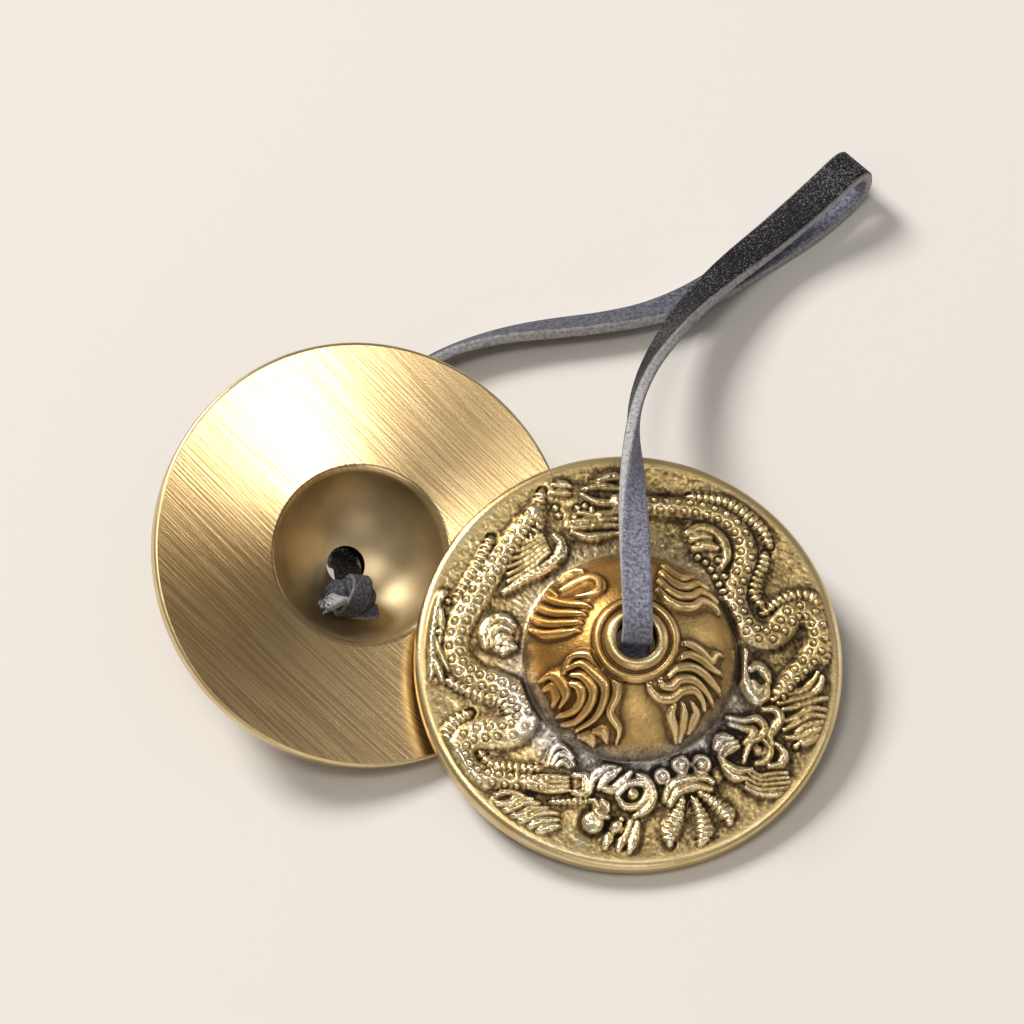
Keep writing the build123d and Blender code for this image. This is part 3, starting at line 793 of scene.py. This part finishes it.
strokes = {                # half widths along the stroke, and its height
    "fins": ([0.7, 1.05, 1.05, 0.7], 0.55),
    "mane": ([0.45, 0.78, 0.78, 0.4], 0.65),
    "leg": ([0.7, 1.05, 1.0, 0.6], 0.7),
    "face": ([0.55, 0.95, 0.95, 0.55], 0.85),
    "whiskers": ([0.45, 0.65, 0.5], 0.55),
    "petals": ([0.6, 1.2, 1.5, 0.7], 0.85),
    "bands": ([0.7, 1.0, 1.0, 0.6], 0.85),
    "fan": ([0.45, 0.6, 0.45], 0.6),
    "cloud": ([0.4, 0.78, 0.78, 0.35], 0.55),
}
combs = {                  # strands, half widths and height
    "beard": (5, [0.35, 0.5, 0.5, 0.35], 0.6),
    "neck": (4, [0.45, 0.5, 0.45], 0.6),
    "claw": (6, [0.4, 0.58, 0.45], 0.6),
}
cuts = {                   # half length of the cuts, spacing, share left uncut and depth
    "fins": (1.0, 1.0, 0.0, 0.3),
    "whiskers": (0.6, 0.8, 0.0, 0.25),
    "petals": (1.2, 0.9, 0.2, 0.3),
}
pellets = {                # radius and height
    "scale": (0.45, 0.34),
    "eye": (1.0, 0.5),
    "bead": (0.55, 0.4),
}
carving = {
    "bodySwell": 1.15,      # widths of the bodies over those listed
    "bodyHeight": 0.95,
    "scales": (1.85, 0.8),  # their spacing, and where they start
    "cheekHeight": 0.8,
    "pearlHeight": 0.75,
    "flangeFill": (0.8, 0.32),
    "domeFill": (0.9, 0.3),
    "flangeGrain": 0.03,
    "domeGrain": 0.006,
    "rimFade": (30.2, 31.2),
    "flangeSeamFade": (16.5, 17.2),
    "domeSeamFade": (15.4, 16.4),
}


def engrave(field, owner, kind):
    # All strokes of one kind, each with the cuts across it
    for line in owner[kind]:
        field.ridge(line, *strokes[kind])
        if kind in cuts:
            field.rungs(line, *cuts[kind])


def carve(field):
    # Dragons and jewel in the order in which they overlap
    for dragon in (rightDragon, leftDragon):
        for mass in dragon["masses"]:
            field.mass(*mass)
        engrave(field, dragon, "fins")
        engrave(field, dragon, "mane")
        widths = [carving["bodySwell"] * half for half in dragon["bodyHalf"]]
        field.ridge(dragon["body"], widths, carving["bodyHeight"])
        scales = alongBody(dragon["body"], dragon["scaleRows"], *carving["scales"])
        field.beads(scales, *pellets["scale"])
        engrave(field, dragon, "leg")
        engrave(field, dragon, "face")
        field.beads([dragon["eye"]], *pellets["eye"])
        field.beads(dragon["beads"], *pellets["bead"])
    for owner, kind in ((rightDragon, "beard"), (leftDragon, "neck"), (leftDragon, "claw")):
        field.comb(*owner[kind], *combs[kind])
    engrave(field, leftDragon, "whiskers")
    for x, y, radius in leftDragon["cheeks"]:
        field.beads([(x, y)], radius, carving["cheekHeight"])
    field.mass(*jewel["mass"])
    engrave(field, jewel, "petals")
    engrave(field, jewel, "bands")
    for x, y, radius in jewel["pearls"]:
        field.beads([(x, y)], radius, carving["pearlHeight"])
        field.beads([(x, y - 0.1)], 0.45 * radius, 0.35)    # a smaller pellet on each pearl
    engrave(field, jewel, "fan")
    field.fill(*carving["flangeFill"])
    field.settle(carving["flangeGrain"], 3)


def carveDome(field):
    # Cloud bands on low masses
    for band in cloudBands:
        field.ridge(band, *strokes["cloud"])
    field.fill(*carving["domeFill"])
    field.settle(carving["domeGrain"], 9)


# Patina dark in the hollows, rubbed bright heights, a painted highlight at the flange's front left and
# painted shade in the dome's hole
wearAndLight = {
    "open": 0.45,               # plain ground and flat tops, at the back right
    "leftward": 0.15,           # painted highlight: brighter than that at the front left, over a distance
    "leftFrom": (-30.0, 25.0),
    "foot": 0.50,               # rough ring round the foot of the dome
    "rim": 0.62,                # smooth edge
    "dome": 0.53,
    "hollow": 1.9,              # how much hollows darken, per millimetre
    "crest": 0.8,               # how much heights brighten, per millimetre
    "ringTop": 0.2,             # the same on the rings
    "ringGroove": 1.6,
    "grooveBelow": 0.22,        # height over the dome under which the rings' grooves are dark
    "speckle": 0.08,            # on the flange and at the foot
    "domeSpeckle": 0.025,
    "footEnd": (16.8, 19.5),    # radii over which one zone passes into the next
    "rimStart": (30.3, 31.4),
    "footStart": (13.8, 16.2),
    "ringsEnd": (6.75, 7.1),
}


def wornLevel(field, base, speckle, seed):
    # From 0 in the dark hollows to 1 on the bright heights: height over the blurred heights round it
    height = field.height.reshape(field.shape)
    over = 0.6 * (height - field.softened(0.32)) + 0.5 * (height - field.softened(0.95))
    patches = castNoise(field.spread, 0.3, seed) + 0.6 * castNoise(field.spread, 0.9, seed + 1)
    level = base + speckle * patches.reshape(field.shape)
    return level + np.where(over < 0, wearAndLight["hollow"], wearAndLight["crest"]) * over


def flangeWearAndHighlight(field):
    # Foot, open field and rim passed into each other by their radii, the field brightened towards the front
    # left as a painted highlight
    plain = wearAndLight["open"] + wearAndLight["leftward"] * eased(-field.x - 0.6 * field.y, *wearAndLight["leftFrom"])
    base = wearAndLight["foot"] + (plain - wearAndLight["foot"]) * eased(field.radius, *wearAndLight["footEnd"])
    level = wornLevel(field, base, wearAndLight["speckle"], 21)
    return np.clip(level + (wearAndLight["rim"] - level) * eased(field.radius, *wearAndLight["rimStart"]), 0, 1)


def domeWearAndShade(field):
    # Dome and foot in the same way, with bright rings, dark grooves beside them and the hole's wall painted
    # black as shade
    over = field.section[:, 1:] - onDome(np.minimum(field.radius, domeSphere))
    foot = eased(field.radius, *wearAndLight["footStart"])
    base = wearAndLight["dome"] + (wearAndLight["foot"] - wearAndLight["dome"]) * foot
    speckle = wearAndLight["domeSpeckle"] + (wearAndLight["speckle"] - wearAndLight["domeSpeckle"]) * foot
    level = wornLevel(field, base, speckle, 31)
    rings = wearAndLight["ringTop"] * np.clip(over, 0, 1)
    rings = rings - wearAndLight["ringGroove"] * np.clip(wearAndLight["grooveBelow"] - over, 0, 1)
    level = level + (1 - eased(field.radius, *wearAndLight["ringsEnd"])) * rings
    # painted shade: the hole's wall set to the darkest level
    inHole = field.radius < cymbal["holeRadius"] + 0.05
    return np.clip(np.where(inHole, 0.0, level), 0, 1)


flangeSect = flangeSection()
domeSect = domeSection()
insideSect = insideSection()
rimRows = 12        # plain rows round the rim
domeRows = 71       # rows of the dome under its rings
flangeField = ReliefField(flangeSect)
carve(flangeField)
flangeFade = 1 - eased(flangeSect[:, 0], *carving["rimFade"])
flangeFade *= eased(flangeSect[:, 0], *carving["flangeSeamFade"])
flangeField.height *= np.repeat(flangeFade, cymbal["around"])
flangeField.height[:rimRows * cymbal["around"]] = 0.0
domeField = ReliefField(domeSect)
carveDome(domeField)
domeField.height *= np.repeat(1 - eased(domeSect[:, 0], *carving["domeSeamFade"]), cymbal["around"])
domeField.height[domeRows * cymbal["around"]:] = 0.0
print("relief carved", round(float(flangeField.height.max()), 2), "mm high")
flangeGrid = turnedGrid(flangeSect, flangeField.height.reshape(flangeField.shape))
domeGrid = turnedGrid(domeSect, domeField.height.reshape(domeField.shape))
insideGrid = turnedGrid(insideSect)
flangeLevel = flangeWearAndHighlight(flangeField)
domeLevel = domeWearAndShade(domeField)


tone = {
    "copperLeast": 0.3,         # share of the copper-toned painted reflection at the dome's right; it is whole at the left
    "copperFrom": (-10.0, 8.0),
    "copperStart": (2.0, 6.5),  # radii over which it comes in and goes out
    "copperEnd": (13.5, 17.0),
    "ashLeast": 0.15,           # share of grey behind the dome, and how much more in front
    "ashFront": 0.6,
    "ashFrom": (-6.0, 14.0),
    "ashStart": (14.0, 16.4),
    "ashEnd": (17.5, 22.0),
}


def warmReflectionShare(field):
    # Painted warm reflection in a copper tone on the dome, strongest on its left
    leftward = eased(0.4 * field.y - 0.9 * field.x, *tone["copperFrom"])
    share = tone["copperLeast"] + (1 - tone["copperLeast"]) * leftward
    return share * eased(field.radius, *tone["copperStart"]) * (1 - eased(field.radius, *tone["copperEnd"]))


def ashShare(field):
    # Grey cast skin round the foot of the dome, most of all in front
    share = tone["ashLeast"] + tone["ashFront"] * eased(-field.y, *tone["ashFrom"])
    return share * eased(field.radius, *tone["ashStart"]) * (1 - eased(field.radius, *tone["ashEnd"]))


bowlShare = np.repeat((insideSect[:, :1] < cymbal["cavityRadius"]).astype(float), cymbal["around"], axis=1)


def dishShadeShare():
    # Painted shade on the inside: darker sectors about two directions in degrees from the side axis
    angle = np.degrees(roundAngle)
    share = np.zeros_like(angle)
    for middle, width, amount in cymbal["paintedDishShade"]:
        away = (angle - middle + 180) % 360 - 180
        share = share + amount * np.exp(-((away / width) ** 2))
    return np.repeat(share[None], len(insideSect), axis=0)


flangeValues = {"wornAndPaintedLight": flangeLevel, "paintedWarmReflection": warmReflectionShare(flangeField), "ash": ashShare(flangeField)}
domeValues = {"wornAndPaintedLight": domeLevel, "paintedWarmReflection": warmReflectionShare(domeField), "ash": ashShare(domeField)}
insideValues = {"bowl": bowlShare, "paintedDishShade": dishShadeShare()}
for side, place in (("left", leftFrame), ("right", rightFrame)):
    flange = gridPiece(side + "Flange", setDown(flangeGrid, place), castBrass, values=flangeValues)
    dome = gridPiece(side + "Dome", setDown(domeGrid, place), castBrass, values=domeValues)
    inside = gridPiece(side + "Inside", setDown(insideGrid, place), brushedBrass, values=insideValues)
    for piece in (flange, dome, inside):
        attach(piece, side + "_cymbal")
    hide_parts(side + "_cymbal")
print("cymbals made")


# Strap

strap = {
    "width": 5.9,
    "thickness": 1.8,
    "holeClearance": 0.6,
    "knotDiameter": 6.8,
    "knotClearance": 0.3,
    "knotOffset": 5.5,
    "holeLead": 1.6,
    "rightExitRise": 2.4,
    "leftExitRise": 0.7,
    "rightHoleSuede": (0.0, -1.0, 0.2),
    "leftHoleSuede": (0.3, 1.0, 0.2),
    "corner": 0.3,
    "samples": 16,
    "blackFrom": (36, 20),      # rings before the left mouth over which suede and edges are painted dark as the hole's shade
    "soiledOver": 40,           # rings past the loop over which painted shade darkens the suede
    "liftReach": 6.0,           # half lengths of the three bends
    "rightReach": 3.5,
    "leftReach": 4.0,
    # x, y, z, share of the loop's width past the holes' width, direction of the suede side
    "route": [
        (20.7, -3.9, 27.0, 0.03, (0.0, -0.2, 1.0)),
        (20.4, 4.9, 27.2, 0.03, (0.3, 0.1, 0.9)),
        (20.3, 14.4, 24.9, 0.03, (0.7, 0.2, 0.7)),
        (20.5, 24.3, 20.9, 0.11, (1.0, 0.1, 0.2)),
        (21.0, 33.2, 16.3, 0.19, (1.0, -0.2, -0.2)),
        (22.8, 41.5, 12.2, 0.27, (0.8, -0.4, -0.4)),
        (25.6, 48.6, 9.0, 0.44, (0.6, -0.5, -0.6)),
        (29.0, 55.0, 7.0, 0.52, (0.4, -0.5, -0.8)),
        (32.7, 60.1, 5.9, 0.60, (0.2, -0.4, -0.9)),
        (37.1, 65.2, 5.0, 0.68, (0.1, -0.2, -1.0)),
        (42.3, 70.1, 4.7, 0.76, (0.1, 0.0, -1.0)),
        (47.2, 74.3, 5.8, 0.84, (0.2, 0.2, -1.0)),
        (51.7, 78.0, 7.6, 0.92, (0.2, 0.2, -1.0)),
        (56.5, 82.7, 8.5, 1.00, (-0.7, -0.7, -0.7)),
        (56.8, 83.1, 1.1, 1.00, (-0.7, -0.7, 0.7)),
        (51.2, 76.8, 1.0, 0.92, (0.0, 0.0, 1.0)),
        (45.6, 72.2, 1.0, 0.84, (0.0, 0.0, 1.0)),
        (40.6, 68.7, 1.0, 0.76, (0.0, 0.0, 1.0)),
        (35.2, 64.4, 1.3, 0.68, (0.0, 0.1, 1.0)),
        (29.8, 60.7, 2.0, 0.68, (-0.1, 0.3, 0.9)),
        (23.4, 57.9, 2.4, 0.60, (-0.1, 0.5, 0.8)),
        (16.2, 56.3, 2.5, 0.52, (-0.1, 0.6, 0.8)),
        (9.0, 55.3, 2.6, 0.44, (-0.1, 0.6, 0.8)),
        (2.1, 54.2, 2.7, 0.35, (-0.2, 0.7, 0.7)),
        (-4.2, 52.4, 2.8, 0.27, (-0.3, 0.8, 0.6)),
        (-9.8, 49.9, 2.8, 0.27, (-0.4, 0.8, 0.5)),
        (-14.3, 46.2, 2.7, 0.19, (-0.6, 0.6, 0.6)),
        (-17.5, 41.0, 2.5, 0.11, (-0.6, 0.3, 0.8)),
        (-19.6, 35.2, 2.1, 0.03, (-0.3, 0.1, 0.9)),
        (-21.2, 29.4, 1.8, 0.03, (-0.1, 0.0, 1.0)),
        (-22.4, 23.8, 1.7, 0.00, (0.0, 0.0, 1.0)),
        (-23.3, 18.9, 1.7, 0.00, (0.0, 0.0, 1.0)),
    ],
    "rightJoin": 6,     # points of the whole route, knots counted, where its pieces meet
    "loopJoin": 19,
}
clearRadius = cymbal["holeRadius"] - strap["holeClearance"]
holeWidth = 2 * math.sqrt(clearRadius**2 - (strap["thickness"] / 2) ** 2)
mouthHeight = float(onDome(cymbal["holeRadius"])) + cymbal["ringHeight"]


def knotPlace(cymbalPlace):
    # Middle of a knot that lies on the inside of the dome, in front of the hole
    centre, directions = cymbalPlace
    crown = directions[2]
    front = np.array([0.0, -1.0, 0.0])
    front = unit(front - crown * (front @ crown))
    reach = cavitySphere - strap["knotDiameter"] / 2 - strap["knotClearance"]
    height = cavityCentre + math.sqrt(reach**2 - strap["knotOffset"] ** 2)
    return centre + crown * height + front * strap["knotOffset"]


def endRows(cymbalPlace, exitRise, suede):
    # Route from the knot out through the hole
    centre, directions = cymbalPlace
    crown = directions[2]
    inner = centre + crown * (float(inCavity(cymbal["holeRadius"])) - strap["holeLead"])
    outer = centre + crown * (mouthHeight + exitRise)
    return [(tuple(point), holeWidth, suede) for point in (knotPlace(cymbalPlace), inner, outer)]


def alongSpline(controls):
    # Points along a quadratic NURBS through these controls, read from a curve without thickness
    curve = bpy.data.curves.new("route", "CURVE")
    curve.dimensions = "3D"
    spline = curve.splines.new("NURBS")
    spline.points.add(len(controls) - 1)
    spline.points.foreach_set("co", np.concatenate([controls, np.ones((len(controls), 1))], axis=1).ravel())
    spline.order_u = 3
    spline.use_endpoint_u = True
    spline.resolution_u = strap["samples"]
    carrier = newObject("route", curve)
    bpy.context.view_layer.update()
    line = bpy.data.meshes.new_from_object(carrier.evaluated_get(bpy.context.evaluated_depsgraph_get()))
    points = np.empty(3 * len(line.vertices))
    line.vertices.foreach_get("co", points)
    bpy.data.objects.remove(carrier)
    bpy.data.meshes.remove(line)
    return points.reshape(-1, 3)


routeRows = [(row[:3], holeWidth + row[3] * (strap["width"] - holeWidth), row[4]) for row in strap["route"]]
rows = endRows(rightFrame, strap["rightExitRise"], strap["rightHoleSuede"]) + routeRows
rows += endRows(leftFrame, strap["leftExitRise"], strap["leftHoleSuede"])[::-1]
rowPlaces = np.array([row[0] for row in rows])
rowSuede = unit(np.array([row[2] for row in rows], dtype=float))
rowWidth = np.array([[row[1], 0, 0] for row in rows])
path = alongSpline(rowPlaces)
suedeSide = alongSpline(rowSuede)
pathWidth = alongSpline(rowWidth)[:, 0]
along = unit(np.gradient(path, axis=0))
suedeSide = unit(suedeSide - along * np.sum(suedeSide * along, axis=1)[:, None])
across = np.cross(suedeSide, along)


def strapProfile():
    # Round the strip from the suede face: shares of half width and half thickness, suede or grain, cut edge
    flat = np.linspace(1, -1, 13)
    edge = np.linspace(1, -1, 5)
    parts = []
    for side in (1, -1):
        parts.append(np.stack([side * flat, np.full(13, side), np.full(13, side > 0), np.zeros(13)], axis=1))
        parts.append(np.stack([np.full(5, -side), side * edge, np.full(5, side > 0), np.ones(5)], axis=1))
    return np.concatenate(parts)


profile = strapProfile()


def stripGrid(line, across, normal, width, thickness):
    # The profile carried along a line: place + across * u + normal * v, with the corners taken off
    half = width[:, None] / 2
    thick = thickness / 2
    isEdge = profile[None, :, 3] > 0.5
    u = profile[None, :, 0] * np.where(isEdge, half, half - strap["corner"])
    v = profile[None, :, 1] * np.where(isEdge, thick - strap["corner"], thick)
    return line[:, None] + u[..., None] * across[:, None] + v[..., None] * normal[:, None]


def strapPiece(name, first, last):
    # One stretch of the strap, from ring to ring
    rings = slice(first, last + 1)
    order = np.arange(len(path))[rings, None]
    start, end = (leftMouth - before for before in strap["blackFrom"])
    grid = stripGrid(path[rings], across[rings], suedeSide[rings], pathWidth[rings], strap["thickness"])
    # painted shade: suede and cut edges fade to the black grain inside the left hole
    outOfHoleShade = 1 - eased(order, start, end)
    values = {
        "suede": profile[None, :, 2] * outOfHoleShade,
        "cutEdge": profile[None, :, 3] * outOfHoleShade,
        # painted shade on the suede past the loop
        "soiled": eased(order, loopJoin, loopJoin + strap["soiledOver"]) + 0 * profile[None, :, 3],
    }
    piece = gridPiece(name, grid, strapLeather, caps=True, values=values)
    return piece


def nearestRing(place):
    # Number of the ring closest to a place
    return int(np.argmin(np.linalg.norm(path - place, axis=1)))


leftMouth = nearestRing(rowPlaces[-3])
rightJoin = nearestRing(rowPlaces[strap["rightJoin"]])
loopJoin = nearestRing(rowPlaces[strap["loopJoin"]])
lastRing = len(path) - 1
strapRight = strapPiece("strapRight", 0, rightJoin)
strapLoop = strapPiece("strapLoop", rightJoin, loopJoin)
strapLeft = strapPiece("strapLeft", loopJoin, lastRing)


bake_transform(strapLoop)
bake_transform(strapRight)
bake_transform(strapLeft)
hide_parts("right_knot")
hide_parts("strap_right")
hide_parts("strap_left", "left_knot")
print("strap made")


# Knots: places in a frame at the knot, x along it, y to the back and z out of the bowl

knot = {
    "half": (4.0, 2.75, 2.8),
    "wrapWidth": 3.0,
    "wrapThickness": 1.1,
    "tail": [(-1.4, -0.6, 1.6), (-2.6, -1.3, 2.3), (-3.6, -2.0, 2.5), (-4.7, -2.7, 2.2)],
    "tailWidth": [2.6, 2.5, 2.0],
    "tailThickness": 1.2,
    "end": [(-1.2, -1.9, -0.2), (1.0, -2.3, 0.1), (3.0, -2.2, 0.2), (4.5, -1.8, 0.3)],
    "endWidth": [2.4, 2.4, 2.2],
    "endThickness": 1.0,
    "fray": 0.22,
    "crease": 0.13,
    "cut": {"Lump": 0.0, "Tail": 1.0},      # how much of a cut edge's look these two have all over
    "edgeShare": 0.4,       # and the other two on their edges
    "suede": {"Lump": 0.25, "Wrap": 0.2, "Tail": 1.0, "End": 0.3},
}


def knotFrame(cymbalPlace):
    # Middle and directions of a knot
    directions = cymbalPlace[1]
    out = -directions[2]
    return knotPlace(cymbalPlace), np.stack([np.cross(directions[1], out), directions[1], out])


def lumpGrid():
    # Ellipsoid x = a cos t, y = b sin(t)^0.8 cos w, z = c sin(t)^0.8 sin w, with two slanting creases
    turn = np.linspace(0.04, np.pi - 0.04, 60)[:, None]
    around = np.linspace(0, 2 * np.pi, 72, endpoint=False)[None]
    x = knot["half"][0] * np.cos(turn) + 0 * around
    crease = knot["crease"] * np.exp(-(((x - 1.5 - 0.9 * np.sin(around)) / 0.3) ** 2))
    crease = crease + knot["crease"] * np.exp(-(((x + 1.5 + 0.8 * np.cos(around + 1)) / 0.28) ** 2))
    swell = np.sin(turn) ** 0.8 * (1 - crease + 0.04 * np.sin(3 * around + 1.3 * x))
    y = knot["half"][1] * swell * np.cos(around)
    z = knot["half"][2] * swell * np.sin(around)
    return np.stack([x, y, z], axis=-1)


def wrapGrid():
    # Strip wound slantwise round the lump: x = 0.2 + 1.1 sin(w + 0.7), its two ends tucked in
    turn = np.linspace(math.radians(-110), math.radians(215), 90)
    tuck = 1 - 0.45 * (1 - eased(np.minimum(turn - turn[0], turn[-1] - turn), 0.0, 0.5))
    line = np.stack([0.2 + 1.1 * np.sin(turn + 0.7), (knot["half"][1] + 0.1) * tuck * np.cos(turn),
                     (knot["half"][2] + 0.1) * tuck * np.sin(turn)], axis=1)
    normal = np.stack([np.zeros_like(turn), np.cos(turn), np.sin(turn)], axis=1)
    return line, normal, np.full(len(turn), knot["wrapWidth"]), knot["wrapThickness"]


def shortStrip(points, widths, thickness, normal):
    # A strip along a smooth line that faces one way
    line = smoothLine(points)
    return line, np.repeat(np.array([normal]), len(line), axis=0), spreadOver(widths, len(line)), thickness


def sweptStrip(line, normal, width, thickness):
    # The normal made square to the line: n - t (n . t)
    way = unit(np.gradient(line, axis=0))
    normal = unit(normal - way * np.sum(normal * way, axis=1)[:, None])
    return stripGrid(line, np.cross(normal, way), normal, width, thickness)


def frayed(grid):
    # Cut end that comes apart: random shifts that grow towards the last rows
    grow = np.linspace(0, 1, len(grid))[:, None, None] ** 2
    return grid + knot["fray"] * grow * np.random.default_rng(5).normal(size=grid.shape)


def makeKnot(side, cymbalPlace):
    # A lump, a strip wound round it and the strap's two short ends
    centre, directions = knotFrame(cymbalPlace)
    tail = sweptStrip(*shortStrip(knot["tail"], knot["tailWidth"], knot["tailThickness"], (-0.3, 0.5, 0.8)))
    end = sweptStrip(*shortStrip(knot["end"], knot["endWidth"], knot["endThickness"], (0.0, 0.3, 1.0)))
    wrap = sweptStrip(*wrapGrid())
    grids = {"Lump": lumpGrid(), "Wrap": wrap, "Tail": frayed(tail), "End": end}
    pieces = []
    for name, grid in grids.items():
        plain = np.zeros(grid.shape[:2])
        cut = knot["cut"][name] if name in knot["cut"] else knot["edgeShare"] * profile[None, :, 3]
        values = {"suede": plain + knot["suede"][name], "cutEdge": plain + cut, "soiled": plain}
        grid = grid @ directions + centre
        piece = gridPiece(side + "Knot" + name, grid, strapLeather, caps=True, values=values)
        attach(piece, side + "_knot")
        pieces.append(piece)
    return pieces


leftKnot = makeKnot("left", leftFrame)
rightKnot = makeKnot("right", rightFrame)
print("knots made")


# Stage

stage = {
    "floor": (0.83, 0.79, 0.745),
    "floorSize": 6.0,
    "elevation": 61.0,
    "distance": 1.0,
    "lookAt": (0.0021, 0.0238, 0.0),
    "lens": 227.1,
    "lampAim": (0.0, 0.02, 0.0),
    "warm": (1.0, 0.97, 0.93),
    "worldStrength": 0.27,
}
lamps = {               # place, size, power and colour
    "key": ((-2.0, 1.75, 2.4), 1.2, 118.0, (1.0, 0.98, 0.95)),
    "overhead": ((-0.2, -0.2, 1.15), 0.3, 2.5, stage["warm"]),
}
cards = {               # the same, for those seen in the metal only
    "rightCard": ((0.70, -0.38, 1.0), 0.16, 1.7, stage["warm"]),
    "dishCard": ((0.36, -0.22, 1.2), 0.16, 0.6, stage["warm"]),
    "frontCard": ((0.13, -1.1, 0.5), 0.6, 1.6, stage["warm"]),
    "sideCard": ((1.2, 0.3, 0.3), 0.5, 1.2, stage["warm"]),
}


def makeFloor():
    # Pale ground, square about the origin
    size = stage["floorSize"]
    corners = [(-size, -size, 0), (size, -size, 0), (size, size, 0), (-size, size, 0)]
    mesh = bpy.data.meshes.new("floor")
    mesh.from_pydata(corners, [], [(0, 1, 2, 3)])
    paint = Shading("paleFloor")
    mesh.materials.append(paint.finished(BaseColor=stage["floor"], Roughness=0.9, SpecularIORLevel=0.1))
    floor = newObject("floor", mesh)


def addLamp(name, place, size, power, colour):
    # Square soft box that faces the object
    data = bpy.data.lights.new(name, "AREA")
    data.size = size
    data.energy = power
    data.color = colour
    lamp = newObject(name, data)
    lamp.location = place
    x, y, z = np.array(place) - np.array(stage["lampAim"])
    lamp.rotation_euler = (math.atan2(math.hypot(x, y), z), 0, math.atan2(y, x) + math.pi / 2)
    return lamp


def makeLights():
    # Lamps, cards and an even light from all sides
    for name, settings in lamps.items():
        addLamp(name, *settings)
    for name, settings in cards.items():
        addLamp(name, *settings).visible_diffuse = False
    world = bpy.data.worlds.new("studio")
    world.use_nodes = True
    background = world.node_tree.nodes["Background"]
    background.inputs["Color"].default_value = (*stage["warm"], 1.0)
    background.inputs["Strength"].default_value = stage["worldStrength"]
    bpy.context.scene.world = world


def makeCamera():
    # Camera in front, raised by an angle and aimed at one place
    data = bpy.data.cameras.new("camera")
    data.lens = stage["lens"]
    data.sensor_width = 36.0
    data.clip_end = 50.0
    camera = newObject("camera", data)
    rise = math.radians(stage["elevation"])
    target = np.array(stage["lookAt"])
    camera.location = target + stage["distance"] * np.array([0.0, -math.cos(rise), math.sin(rise)])
    camera.rotation_euler = (math.pi / 2 - rise, 0.0, 0.0)
    bpy.context.scene.camera = camera


makeFloor()
makeLights()
makeCamera()
bpy.context.scene.view_settings.view_transform = "Standard"
print("stage set")
